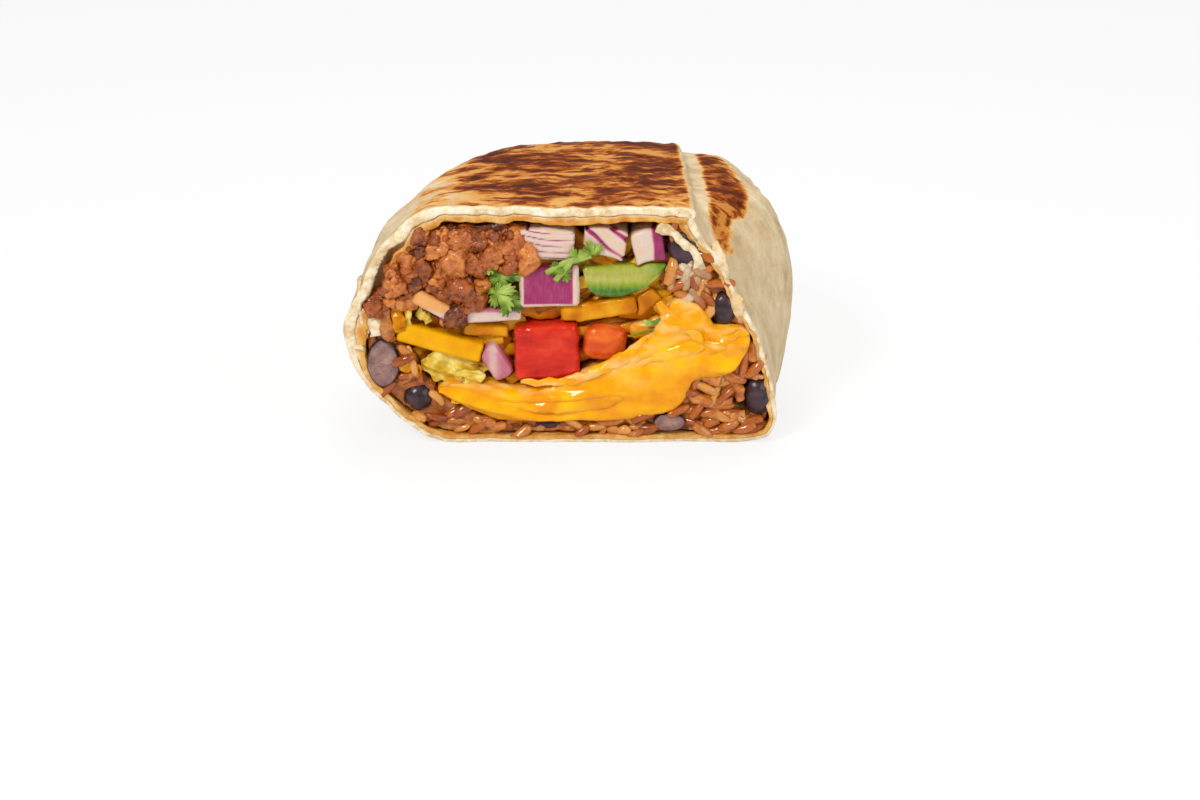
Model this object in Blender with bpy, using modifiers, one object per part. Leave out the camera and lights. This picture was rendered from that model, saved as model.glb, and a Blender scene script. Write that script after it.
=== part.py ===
"""One cut half of a grilled burrito, lying on its flat underside with the cut end towards -Y.

A single rolled tortilla, open at the cut and folded shut behind, holds layers that run the whole way through:
rice with black beans along the bottom and up the right side, a band of melted cheese, crumbled meat in the upper
left and chopped vegetables in the middle. The pieces that show at the cut are solids of their own: onion,
tomato, green pepper, cheese strips, lettuce and beans.

The section plan is drawn in the plane of the cut, X to the right and Z up from the underside, in millimetres.
Depth Y is counted from the cut towards the closed end. Everything is moved at the end so that the origin is the
middle of the underside.
"""

import math

import bmesh
import bpy
import numpy as np
from mathutils import Euler, Matrix, Vector

MM = 0.001

# Driving dimensions, in millimetres.
LENGTH = 79.0            # from the cut to the closed end
FULL_DEPTH = 24.0        # depth at which the wrap has its fullest section
CAVITY_END = 71.0        # depth at which the filling stops
CAP_SHARE = 0.985        # share of the taper at which the closed end is capped flat
TAPER_MIDDLE_X = 6.5     # the closed end narrows towards this X
TAPER_MIDDLE_Z = 21.0    # and towards this height
RIGHT_ROUNDING = 2.2     # superellipse exponents of the closed end: its two sides, its top and its underside
LEFT_ROUNDING = 1.5
TOP_ROUNDING = 3.2
BASE_ROUNDING = 7.0
END_WALL_GROWTH = 1.3    # the folded layers thicken the wall towards the closed end
GAP = 0.4                # clearance between neighbouring pieces
END_ROOM = 0.8           # how much deeper the cavity is than the space the layers fill
DICE_BACK = 13.6         # the chopped pieces at the cut end before this depth, where the filling core starts
SHARPEST = 2.5           # the most that a sharp corner may move, in clearances
RIM = 46                 # points round each section of the wrap
WRAP_DEPTHS = [0, 5, 14, 24, 36, 48, 58, 65, 70.5, 75, 77.4, LENGTH]
CAVITY_DEPTHS = [0, 6, 14, 24, 38, 50, 60, 66]
LAYER_DEPTHS = [FULL_DEPTH, 36, 48, 58, 66, 76]
CORE_LEAD = 4.0          # how far out of the cut the filling may reach
OPENING = 3.0            # how far in front of the cut the shapes that hollow the wrap begin
CUTTER_LEAD = 2.0        # how far in front of a layer the copy that cuts its neighbours begins
OVERSIZE = 130.0         # wider and taller than the whole wrap
BEVEL_FROM_DEG = 40.0    # only edges sharper than this are rounded
KNIFE_LEAN = 0.045       # the most that a corner of a diced block strays, as a share of its size

# The wrap's outline, clockwise from the upper left as seen from the cut: X and Z at the cut, X and Z at the
# fullest section, and the wall, which is two layers thick over the top and folded double on the left.
OUTLINE = [
    (-28.5, 51.6, -27.0, 50.2, 3.6),
    (-13.6, 52.6, -12.0, 52.2, 3.4),
    (2.0, 52.2, 6.0, 52.7, 3.5),
    (16.2, 52.5, 22.0, 52.4, 3.6),
    (26.6, 51.4, 35.0, 50.4, 3.2),
    (31.6, 43.2, 44.2, 45.0, 2.4),
    (35.8, 35.0, 48.8, 35.5, 1.9),
    (41.6, 24.0, 49.8, 24.0, 1.8),
    (45.2, 12.5, 48.8, 12.5, 1.8),
    (45.2, 3.2, 45.4, 3.2, 1.8),
    (37.0, 0.0, 37.5, 0.0, 1.7),
    (6.0, 0.0, 7.0, 0.0, 1.6),
    (-23.5, 0.0, -21.5, 0.0, 1.7),
    (-33.6, 4.2, -33.0, 3.6, 2.0),
    (-42.0, 13.2, -41.0, 12.5, 2.5),
    (-46.2, 24.6, -44.6, 24.0, 4.4),
    (-43.6, 35.0, -42.2, 34.5, 5.2),
    (-37.6, 44.8, -36.5, 43.5, 5.0),
]
POCKET_SPAN = (15.85, 17.45)    # stretch of the outline, in rows, where the left wall's two layers part
POCKET_DEPTH = 34.0
POCKET_DEPTHS = [0, 8, 16, 25, POCKET_DEPTH]
POCKET_SHARE = 0.46             # share of the wall that the pocket takes at its widest
POCKET_EDGE = 0.01              # and at its ends, where it closes
SEAM_FRONT_X = 27.6             # the outer layer's free edge runs along the top, from here at the cut
SEAM_BACK_X = 24.5              # to here near the closed end
SEAM_BACK_DEPTH = 66.0
SEAM_DEPTHS = [0, 8, 16, 24, 36, 48, 58, SEAM_BACK_DEPTH]
SEAM_STEP = 1.3                 # the free edge stands this far above the layer below it
SEAM_RAMP = 6.0                 # width over which the step fades out
SEAM_NARROWEST = 0.35           # share of that width at the cut
SEAM_SINK = 0.05                # the step's foot lies this little below the surface, where it fades out
SEAM_CLEAR = 2.0                # how far above the wrap the shape that cuts the step reaches

# Outlines of the layers in the section plan, X and Z. They are drawn generously where the wrap trims them.
CHEESE = [
    (-26.6, 13.2), (-19.6, 14.4), (-10.4, 12.2), (-1.9, 12.9), (4.5, 15.9), (10.6, 17.9), (15.8, 20.8),
    (19.8, 26.8), (23.2, 32.2), (28.2, 31.4), (31.5, 26.4), (38.2, 25.6), (38.8, 21.0), (34.3, 15.6),
    (27.4, 14.6), (25.3, 9.6), (21.0, 6.6), (10.6, 5.3), (0.0, 4.4), (-9.8, 5.2), (-18.0, 6.8), (-25.4, 10.6),
]
MEAT = [
    (-30.0, 54.0), (-11.0, 54.0), (-11.2, 45.0), (-7.4, 41.0), (-10.0, 39.4), (-16.4, 38.4), (-17.2, 33.2),
    (-21.2, 28.4), (-26.0, 27.0), (-31.0, 31.4), (-39.6, 30.8), (-48.0, 34.0), (-42.0, 50.0),
]
RICE = [
    (-52.0, 25.5), (-36.0, 22.3), (-31.0, 18.6), (-29.0, 14.0), (-20.0, 11.0), (0.0, 9.0), (24.0, 12.0),
    (36.0, 22.0), (30.0, 28.0), (24.5, 33.3), (21.8, 37.0), (23.2, 41.0), (22.0, 46.0), (26.0, 54.0),
    (56.0, 54.0), (56.0, -6.0), (-52.0, -6.0),
]
CHEESE_FRONT, MEAT_FRONT, RICE_FRONT = -1.0, -1.4, 0.2

# Colours, linear, with roughness.
LOOKS = {
    "tortilla": ((0.74, 0.60, 0.42), 0.75),
    "rice": ((0.45, 0.22, 0.09), 0.45),
    "bean": ((0.055, 0.03, 0.035), 0.35),
    "cheese": ((0.95, 0.47, 0.02), 0.3),
    "cheddar": ((0.90, 0.40, 0.015), 0.4),
    "meat": ((0.36, 0.11, 0.035), 0.4),
    "filling": ((0.50, 0.26, 0.08), 0.5),
    "onion": ((0.66, 0.42, 0.46), 0.3),
    "purple_onion": ((0.36, 0.05, 0.24), 0.3),
    "tomato": ((0.72, 0.055, 0.02), 0.2),
    "pepper": ((0.20, 0.36, 0.03), 0.2),
    "lettuce": ((0.80, 0.68, 0.24), 0.35),
}

# The chopped pieces at the cut: name, kind, looks, size (X, Y, Z), middle (X, Y, Z), tilt about Y in degrees
# (a positive tilt lifts the right-hand end) and edge rounding.
CHOPPED = [
    ("tomato_dice_left", "block", "tomato", (13.6, 11.4, 12.6), (-3.5, 5.3, 20.2), 3, 1.2),
    ("tomato_dice_right", "block", "tomato", (9.4, 9.6, 7.6), (8.9, 5.4, 21.8), -5, 2.4),
    ("cheese_strip_left", "block", "cheddar", (18.4, 6.0, 4.5), (-26.0, 3.4, 22.3), -16, 0.5),
    ("cheese_strip_middle", "block", "cheddar", (15.6, 7.0, 4.2), (7.6, 4.6, 29.3), 9, 0.6),
    ("cheese_strip_right", "block", "cheddar", (6.4, 7.0, 4.2), (17.4, 5.0, 31.0), 40, 0.6),
    ("cheese_strip_inner", "block", "cheddar", (9.6, 5.4, 2.7), (-16.4, 4.4, 24.6), -3, 0.5),
    ("cheese_melted_pale", "block", "cheese", (7.6, 6.0, 3.6), (17.4, 5.6, 24.6), 22, 1.2),
    ("onion_stack", "arc", "onion", (13.0, 10.6, 8.0), (-3.9, 4.9, 44.2), 0, 0.5),
    ("onion_middle", "arc", "onion", (9.2, 9.8, 7.4), (8.8, 5.3, 44.4), -8, 0.5),
    ("onion_right", "arc", "onion", (6.8, 9.0, 8.4), (17.8, 5.0, 43.6), 10, 0.5),
    ("onion_square", "block", "purple_onion", (12.6, 9.6, 8.8), (-2.9, 4.7, 34.8), 2, 0.6),
    ("onion_slice", "block", "onion", (12.0, 8.2, 3.2), (-14.8, 4.2, 28.6), 4, 0.5),
    ("onion_wedge", "block", "onion", (4.8, 7.6, 8.4), (-14.3, 3.8, 17.8), 32, 1.6),
    ("onion_in_meat", "block", "onion", (8.4, 6.0, 3.2), (-27.4, 1.6, 31.2), -30, 0.6),
    ("pepper_slice", "moon", "pepper", (18.0, 6.4, 8.0), (13.0, 3.4, 36.6), 0, 0.7),
    ("lettuce_piece", "leaf", "lettuce", (12.6, 7.0, 5.2), (-22.8, 4.0, 17.3), -13, 0.0),
]

# The beans: middle (X, Y, Z), thickness and length, and tilt about Y of the length from upright.
BEANS = [
    ("bean_left", (-38.1, 3.4, 17.9), 6.6, 9.8, -4),
    ("bean_low_left", (-30.9, 3.2, 9.6), 4.8, 7.4, 50),
    ("bean_top_right", (24.4, 3.2, 42.4), 5.2, 8.6, 38),
    ("bean_mid_right", (33.0, 2.6, 29.4), 4.8, 7.2, 24),
    ("bean_low_right", (39.2, 2.6, 10.2), 6.0, 9.2, 14),
    ("bean_base_right", (22.6, 2.6, 4.1), 3.8, 6.4, 90),
    ("bean_base_left", (-4.0, 2.6, 3.35), 2.4, 6.8, 90),
]
BEAN_CUT = 0.0           # the knife sliced the beans flat at this depth
BEAN_BEND = 0.10         # how far a bean's middle bows sideways, as a share of its thickness
BEAN_BREADTH = 1.1       # breadth into the filling, as a share of its thickness

# Shapes of the chopped pieces, as shares of their size where nothing else is said.
ARC_POINTS = 7           # along the top of a chunk of onion
ARC_BEND = 0.096         # how far its layers bow up
ARC_DROP = 0.16          # how far the ends of its top lie below the full height
ARC_NARROWING = 0.94     # width of its base
MOON_POINTS = 13         # along the top of the pepper slice
MOON_TOP = 0.30          # height of its flat top, at the left
MOON_SLOPE = 0.10        # and how much that rises to the right
MOON_RIM = 0.38          # height of the ends of its belly
MOON_BELLY = 0.92        # how far the belly hangs below them
MOON_REACH = 0.78        # share of a half round that the belly follows
MOON_FULLNESS = 0.75     # under 1, a fuller belly
MOON_THINNEST = 0.8      # its least thickness, in millimetres
LEAF_WAVE = 0.30         # waves of the lettuce along its length
LEAF_CROSSWAVE = 0.22    # and across it
LEAF_THICKNESS = 1.1     # in millimetres


def clear_scene():
    for obj in list(bpy.data.objects):
        bpy.data.objects.remove(obj)


def smooth_closed(points, count):
    """Points spaced evenly in parameter on a closed Catmull-Rom curve through the rows of points."""
    rows = np.asarray(points, float)
    n = len(rows)
    t = np.arange(count) * n / count
    i = np.floor(t).astype(int)
    f = (t - i)[:, None]
    before, here, after, beyond = (rows[(i + k) % n] for k in (-1, 0, 1, 2))
    return 0.5 * (
        2 * here
        + (after - before) * f
        + (2 * before - 5 * here + 4 * after - beyond) * f**2
        + (3 * here - before - 3 * after + beyond) * f**3
    )


def outward_normals(section):
    """Unit normals of a clockwise closed section, pointing out of it."""
    along = np.roll(section, -1, axis=0) - np.roll(section, 1, axis=0)
    normals = np.stack([-along[:, 1], along[:, 0]], axis=1)
    return normals / np.linalg.norm(normals, axis=1)[:, None]


def taper(depth, exponent):
    """Width or height left at this depth, as the closed end rounds off."""
    share = min(max((depth - FULL_DEPTH) / (LENGTH - FULL_DEPTH), 0.0), CAP_SHARE)
    return (1 - share**exponent) ** (1 / exponent)


def follow(section, depth):
    """A section's points narrowed towards the closed end's middle as the wrap is at this depth."""
    placed = section.copy()
    reach = section[:, 0] - TAPER_MIDDLE_X
    narrowing = np.where(reach > 0, taper(depth, RIGHT_ROUNDING), taper(depth, LEFT_ROUNDING))
    placed[:, 0] = TAPER_MIDDLE_X + reach * narrowing
    height = section[:, 1] - TAPER_MIDDLE_Z
    scale = np.where(height > 0, taper(depth, TOP_ROUNDING), taper(depth, BASE_ROUNDING))
    placed[:, 1] = TAPER_MIDDLE_Z + height * scale
    return placed


def wrap_section(depth):
    """(outline, wall) of the wrap at a depth: the cut's outline passing smoothly into the fullest one."""
    rows = smooth_closed(OUTLINE, RIM)
    share = min(max(depth / FULL_DEPTH, 0.0), 1.0)
    share = share * share * (3 - 2 * share)
    section = rows[:, 0:2] * (1 - share) + rows[:, 2:4] * share
    section[:, 1] = np.maximum(section[:, 1], 0.0)
    end_share = min(max((depth - FULL_DEPTH) / (LENGTH - FULL_DEPTH), 0.0), 1.0)
    wall = rows[:, 4] * (1 + END_WALL_GROWTH * end_share**2)
    return follow(section, depth), wall


def cavity_section(depth, clearance=0.0):
    section, wall = wrap_section(depth)
    return section - outward_normals(section) * (wall + clearance)[:, None]


def loft(name, sections, depths):
    """A closed solid through sections of equally many points, each in its own plane of constant depth."""
    bm = bmesh.new()
    rings = [
        [bm.verts.new((x * MM, y * MM, z * MM)) for x, z in section]
        for section, y in zip(sections, depths, strict=True)
    ]
    count = len(rings[0])
    for near, far in zip(rings, rings[1:], strict=False):
        for k in range(count):
            n = (k + 1) % count
            bm.faces.new((near[k], near[n], far[n], far[k]))
    bm.faces.new(rings[0][::-1])
    bm.faces.new(rings[-1])
    bmesh.ops.recalc_face_normals(bm, faces=bm.faces)
    return finish_mesh(name, bm)


def finish_mesh(name, bm):
    mesh = bpy.data.meshes.new(name)
    bm.to_mesh(mesh)
    bm.free()
    obj = bpy.data.objects.new(name, mesh)
    bpy.context.scene.collection.objects.link(obj)
    return obj


def apply_modifiers(obj):
    graph = bpy.context.evaluated_depsgraph_get()
    mesh = bpy.data.meshes.new_from_object(obj.evaluated_get(graph))
    obj.modifiers.clear()
    obj.data = mesh


def boolean(obj, other, operation):
    modifier = obj.modifiers.new(operation.lower(), "BOOLEAN")
    modifier.operation = operation
    modifier.object = other
    modifier.solver = "EXACT"
    apply_modifiers(obj)


def boxes_meet(a, b):
    lows, highs = [], []
    for obj in (a, b):
        corners = np.array([obj.matrix_world @ Vector(c) for c in obj.bound_box])
        lows.append(corners.min(0))
        highs.append(corners.max(0))
    return bool(np.all(np.maximum(*lows) < np.minimum(*highs)))


def grown_copy(obj, clearance):
    """A copy of a piece with every face moved out by the clearance, to cut its neighbours with."""
    bm = bmesh.new()
    bm.from_mesh(obj.data)
    bm.normal_update()
    pushes = [v.normal * clearance * MM * min(v.calc_shell_factor(), SHARPEST) for v in bm.verts]
    for v, push in zip(bm.verts, pushes, strict=True):
        v.co += push
    return finish_mesh(obj.name + "_cutter", bm)


def carve(solid, cutters):
    """Cuts room for each neighbour that reaches into the solid."""
    for cutter in cutters:
        if boxes_meet(solid, cutter):
            boolean(solid, cutter, "DIFFERENCE")


def make_wrap():
    wrap = loft("tortilla_wrap", [wrap_section(y)[0] for y in WRAP_DEPTHS], WRAP_DEPTHS)
    cavity_depths = [-OPENING, *CAVITY_DEPTHS, CAVITY_END + END_ROOM]
    cavity = loft("cavity", [cavity_section(min(max(y, 0), CAVITY_END)) for y in cavity_depths], cavity_depths)
    for cutter in (cavity, pocket_cutter(), seam_cutter()):
        boolean(wrap, cutter, "DIFFERENCE")
        bpy.data.objects.remove(cutter)
    return wrap


def pocket_cutter():
    """The lens-shaped gap between the two layers of the left wall, open at the cut."""
    depths = [-OPENING, *POCKET_DEPTHS]
    sections = []
    row_step = RIM / len(OUTLINE)
    first, last = (round(row * row_step) for row in POCKET_SPAN)
    stretch = np.arange(first, last + 1) % RIM
    for y in depths:
        section, wall = wrap_section(max(y, 0))
        normals = outward_normals(section)
        lens = np.sin(np.linspace(0, math.pi, len(stretch))) ** 0.6
        fade = math.cos(0.5 * math.pi * min(max(y, 0) / POCKET_DEPTH, 0.9))
        half = 0.5 * POCKET_SHARE * lens * fade + POCKET_EDGE
        outer = section[stretch] - normals[stretch] * (wall[stretch] * (0.5 - half))[:, None]
        inner = section[stretch] - normals[stretch] * (wall[stretch] * (0.5 + half))[:, None]
        sections.append(np.concatenate([outer, inner[::-1]]))
    return loft("pocket", sections, depths)


def seam_cutter():
    """Steps the top down just right of the outer layer's free edge."""
    depths = [-OPENING, *SEAM_DEPTHS]
    sections = []
    for y in depths:
        section, _ = wrap_section(max(y, 0))
        upper = section[section[:, 1] > TAPER_MIDDLE_Z]
        upper = upper[np.argsort(upper[:, 0])]
        edge = SEAM_FRONT_X + (SEAM_BACK_X - SEAM_FRONT_X) * max(y, 0) / SEAM_BACK_DEPTH
        reach = edge + SEAM_RAMP * min(1.0, SEAM_NARROWEST + max(y, 0) / FULL_DEPTH)
        top, out = (float(np.interp(x, upper[:, 0], upper[:, 1])) for x in (edge, reach))
        step = SEAM_STEP * math.cos(0.5 * math.pi * (max(y, 0) / SEAM_BACK_DEPTH) ** 3)
        corners = [(edge, top + SEAM_CLEAR), (reach, out + SEAM_CLEAR), (reach, out), (edge, top - step - SEAM_SINK)]
        sections.append(np.array(corners))
    return loft("seam", sections, depths)


def make_core():
    """All the space inside the wrap, less the clearance: what the layers are trimmed to."""
    depths = [-CORE_LEAD, *CAVITY_DEPTHS, CAVITY_END - GAP]
    return loft("core", [cavity_section(max(y, 0), GAP) for y in depths], depths)


def layer_prism(name, outline, front, grow=0.0):
    """A layer's outline carried from its front to the closed end, narrowing as the wrap does."""
    depths = [front, *LAYER_DEPTHS]
    section = smooth_closed(outline, 2 * len(outline))
    if grow:
        section = section + outward_normals(section) * grow
        depths[0] = front - CUTTER_LEAD
    return loft(name, [follow(section, max(y, 0)) for y in depths], depths)


def make_layer(name, outline, front, core, cutters, above=()):
    layer = layer_prism(name, outline, front)
    boolean(layer, core, "INTERSECT")
    for other in above:
        cutter = layer_prism("cutter", *other, grow=GAP)
        boolean(layer, cutter, "DIFFERENCE")
        bpy.data.objects.remove(cutter)
    carve(layer, cutters)
    return layer


def make_filling_core(core, cutters):
    """The chopped filling behind the pieces at the cut, in the room that the layers leave."""
    bm = bmesh.new()
    bmesh.ops.create_cube(bm, size=1.0)
    for v in bm.verts:
        depth = DICE_BACK + (v.co.y + 0.5) * OVERSIZE
        v.co = Vector((v.co.x * OVERSIZE, depth, v.co.z * OVERSIZE)) * MM
    filling = finish_mesh("filling_core", bm)
    boolean(filling, core, "INTERSECT")
    for outline, front in ((CHEESE, CHEESE_FRONT), (MEAT, MEAT_FRONT), (RICE, RICE_FRONT)):
        cutter = layer_prism("cutter", outline, front, grow=GAP)
        boolean(filling, cutter, "DIFFERENCE")
        bpy.data.objects.remove(cutter)
    carve(filling, cutters)
    return filling


def bevelled(bm, name, rounding):
    obj = finish_mesh(name, bm)
    if rounding:
        modifier = obj.modifiers.new("rounding", "BEVEL")
        modifier.width = rounding * MM
        modifier.segments = 2 if rounding > 1 else 1
        modifier.limit_method = "ANGLE"
        modifier.angle_limit = math.radians(BEVEL_FROM_DEG)
        apply_modifiers(obj)
    return obj


def cut_block(name, size, rounding):
    """A knife-cut dice or strip: a block whose faces lean a little, no two alike."""
    bm = bmesh.new()
    bmesh.ops.create_cube(bm, size=1.0)
    rng = np.random.default_rng(sum(map(ord, name)))
    lean = rng.uniform(-KNIFE_LEAN, KNIFE_LEAN, (8, 3))
    for v, push in zip(bm.verts, lean, strict=True):
        v.co = Vector((c * (1 + p) * s * MM for c, p, s in zip(v.co, push, size, strict=True)))
    return bevelled(bm, name, rounding)


def prism_from_outline(name, outline, depth, rounding):
    obj = loft(name, [outline, outline], [-depth / 2, depth / 2])
    bm = bmesh.new()
    bm.from_mesh(obj.data)
    bpy.data.objects.remove(obj)
    return bevelled(bm, name, rounding)


def onion_arc(name, size, rounding):
    """A chunk of stacked onion layers, bent round the onion's middle."""
    width, depth, height = size
    across = np.linspace(-0.5, 0.5, ARC_POINTS)
    rise = ARC_BEND * height * (1 - (2 * across) ** 2)
    top = np.stack([across * width, height / 2 - ARC_DROP * height + rise], axis=1)
    low = np.stack([across[::-1] * width * ARC_NARROWING, -height / 2 + rise[::-1]], axis=1)
    return prism_from_outline(name, np.concatenate([top, low]), depth, rounding)


def half_moon(name, size, rounding):
    """A pepper slice: flat along the top, round below, running out to a tip on the right."""
    width, depth, height = size
    share = np.linspace(0, 1, MOON_POINTS)
    x = (share - 0.5) * width
    top = np.stack([x, height * (MOON_TOP + MOON_SLOPE * share)], axis=1)
    belly = MOON_RIM - MOON_BELLY * np.sin(math.pi * (1 - share[::-1] * MOON_REACH)) ** MOON_FULLNESS
    low = np.stack([x[::-1][1:-1], height * belly[::-1][1:-1]], axis=1)
    low[:, 1] = np.minimum(low[:, 1], top[::-1][1:-1, 1] - MOON_THINNEST)
    return prism_from_outline(name, np.concatenate([top, low]), depth, rounding)


def leaf(name, size):
    """A crumpled strip of lettuce: a thin wavy sheet with a thickness."""
    width, depth, height = size
    bm = bmesh.new()
    bmesh.ops.create_grid(bm, x_segments=10, y_segments=3, size=0.5)
    for v in bm.verts:
        wave = LEAF_WAVE * math.sin(9.0 * v.co.x) + LEAF_CROSSWAVE * math.sin(5.0 * v.co.x + 7.0 * v.co.y)
        v.co = Vector((v.co.x * width, v.co.y * depth, wave * height)) * MM
    obj = finish_mesh(name, bm)
    modifier = obj.modifiers.new("thickness", "SOLIDIFY")
    modifier.thickness = LEAF_THICKNESS * MM
    modifier.offset = 0
    apply_modifiers(obj)
    return obj


def make_bean(name, middle, thickness, length, tilt):
    """A cooked bean, sliced flat where the knife passed."""
    bm = bmesh.new()
    bmesh.ops.create_uvsphere(bm, u_segments=12, v_segments=8, radius=0.5)
    for v in bm.verts:
        kidney = BEAN_BEND * (1 - (2 * v.co.z) ** 2)
        v.co = Vector(((v.co.x - kidney) * thickness, v.co.y * thickness * BEAN_BREADTH, v.co.z * length)) * MM
    turn = Matrix.Rotation(math.radians(tilt), 4, "Y")
    bmesh.ops.transform(bm, matrix=Matrix.Translation(Vector(middle) * MM) @ turn, verts=bm.verts)
    cut = bmesh.ops.bisect_plane(
        bm,
        geom=bm.verts[:] + bm.edges[:] + bm.faces[:],
        plane_co=(0, BEAN_CUT * MM, 0),
        plane_no=(0, -1, 0),
        clear_outer=True,
    )
    rim = [e for e in cut["geom_cut"] if isinstance(e, bmesh.types.BMEdge)]
    bmesh.ops.contextual_create(bm, geom=rim)
    bmesh.ops.recalc_face_normals(bm, faces=bm.faces)
    return finish_mesh(name, bm)


def make_chopped(name, kind, size, middle, tilt, rounding):
    """One chopped piece, in its place at the cut."""
    makers = {
        "block": lambda: cut_block(name, size, rounding),
        "arc": lambda: onion_arc(name, size, rounding),
        "moon": lambda: half_moon(name, size, rounding),
        "leaf": lambda: leaf(name, size),
    }
    piece = makers[kind]()
    turn = Euler((0, math.radians(-tilt), 0)).to_matrix().to_4x4()
    piece.data.transform(Matrix.Translation(Vector(middle) * MM) @ turn)
    return piece


def give_material(obj, looks):
    colour, roughness = LOOKS[looks]
    material = bpy.data.materials.get(looks) or bpy.data.materials.new(looks)
    material.use_nodes = True
    shader = material.node_tree.nodes["Principled BSDF"]
    shader.inputs["Base Color"].default_value = (*colour, 1.0)
    shader.inputs["Roughness"].default_value = roughness
    obj.data.materials.clear()
    obj.data.materials.append(material)


def centre_on_base(objects):
    """Puts the origin at the middle of the underside."""
    points = np.concatenate([[v.co[:] for v in obj.data.vertices] for obj in objects])
    low, high = points.min(0), points.max(0)
    shift = Vector((-(low[0] + high[0]) / 2, -(low[1] + high[1]) / 2, -low[2]))
    for obj in objects:
        obj.data.transform(Matrix.Translation(shift))


def gather(objects):
    """The pieces in a collection named for the object, under one empty at the origin."""
    collection = bpy.data.collections.new("burrito_half")
    bpy.context.scene.collection.children.link(collection)
    root = bpy.data.objects.new("burrito_half", None)
    collection.objects.link(root)
    for obj in objects:
        bpy.context.scene.collection.objects.unlink(obj)
        collection.objects.link(obj)
        obj.parent = root


def make_pieces(core):
    """(pieces with their looks, cutters): every piece at the cut, trimmed to the wrap and to those before it."""
    made = {}
    for name, kind, looks, size, middle, tilt, rounding in CHOPPED:
        made[name] = (make_chopped(name, kind, size, middle, tilt, rounding), looks)
    for name, middle, thickness, length, tilt in BEANS:
        made[name] = (make_bean(name, middle, thickness, length, tilt), "bean")
    cutters = []
    for piece, _ in made.values():
        cutter = grown_copy(piece, GAP)
        boolean(piece, core, "INTERSECT")
        carve(piece, cutters)
        cutters.append(cutter)
    return made, cutters


def main():
    clear_scene()
    core = make_core()
    made, cutters = make_pieces(core)
    cheese = (CHEESE, CHEESE_FRONT)
    meat = (MEAT, MEAT_FRONT)
    made["melted_cheese"] = (make_layer("melted_cheese", *cheese, core, cutters), "cheese")
    made["crumbled_meat"] = (make_layer("crumbled_meat", *meat, core, cutters, [cheese]), "meat")
    rice = make_layer("rice_bed", RICE, RICE_FRONT, core, cutters, [cheese, meat])
    made["rice_bed"] = (rice, "rice")
    made["filling_core"] = (make_filling_core(core, cutters), "filling")
    made["tortilla_wrap"] = (make_wrap(), "tortilla")
    for tool in (core, *cutters):
        bpy.data.objects.remove(tool)
    for obj, looks in made.values():
        give_material(obj, looks)
    objects = [obj for obj, _ in made.values()]
    centre_on_base(objects)
    gather(objects)


main()
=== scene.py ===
"""The looks of a cut half of a grilled burrito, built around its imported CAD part.

Shapes are worked out in the section plan of the part: X to the right and Z up in the plane of the cut,
Y the depth behind it, all in millimetres. `place` turns them into the frame's metres.
"""

import math

import bmesh
import bpy
import numpy as np
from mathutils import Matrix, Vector


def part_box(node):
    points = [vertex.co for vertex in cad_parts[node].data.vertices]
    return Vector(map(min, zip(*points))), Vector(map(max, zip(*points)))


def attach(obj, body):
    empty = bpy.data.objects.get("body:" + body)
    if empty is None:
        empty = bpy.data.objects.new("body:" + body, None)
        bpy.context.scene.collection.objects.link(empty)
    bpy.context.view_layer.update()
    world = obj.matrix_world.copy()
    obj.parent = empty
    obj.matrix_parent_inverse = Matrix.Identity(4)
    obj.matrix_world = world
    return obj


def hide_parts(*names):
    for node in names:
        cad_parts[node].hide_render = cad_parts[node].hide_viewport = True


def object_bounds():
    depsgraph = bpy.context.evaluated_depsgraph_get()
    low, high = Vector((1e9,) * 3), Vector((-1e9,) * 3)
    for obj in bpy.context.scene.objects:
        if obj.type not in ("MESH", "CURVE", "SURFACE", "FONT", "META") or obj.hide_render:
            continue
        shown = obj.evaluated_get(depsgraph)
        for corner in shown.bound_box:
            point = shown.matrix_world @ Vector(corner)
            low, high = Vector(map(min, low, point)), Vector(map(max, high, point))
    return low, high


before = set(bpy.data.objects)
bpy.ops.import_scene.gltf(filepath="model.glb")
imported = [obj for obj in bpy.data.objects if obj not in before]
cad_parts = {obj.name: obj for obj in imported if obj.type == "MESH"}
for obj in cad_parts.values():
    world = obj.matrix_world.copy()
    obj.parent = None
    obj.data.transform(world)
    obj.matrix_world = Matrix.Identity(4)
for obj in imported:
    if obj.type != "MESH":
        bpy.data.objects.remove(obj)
CAD_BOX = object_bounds()

MM = 0.001
FURTHEST_OUT = 3.4       # how far the filling may bulge out of the cut
UP, AWAY, RIGHT = np.array([0.0, 0.0, 1.0]), np.array([0.0, 1.0, 0.0]), np.array([1.0, 0.0, 0.0])

# The wrap, as the part is dimensioned: length, fullest depth, and the rounding of its closed end.
LENGTH, FULL_DEPTH, CAVITY_END = 79.0, 24.0, 71.0
TAPER_MIDDLE_X, TAPER_MIDDLE_Z = 6.5, 21.0
RIGHT_ROUNDING, LEFT_ROUNDING, TOP_ROUNDING, BASE_ROUNDING = 2.2, 1.5, 3.2, 7.0
AROUND = 440             # points round the wrap
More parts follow.
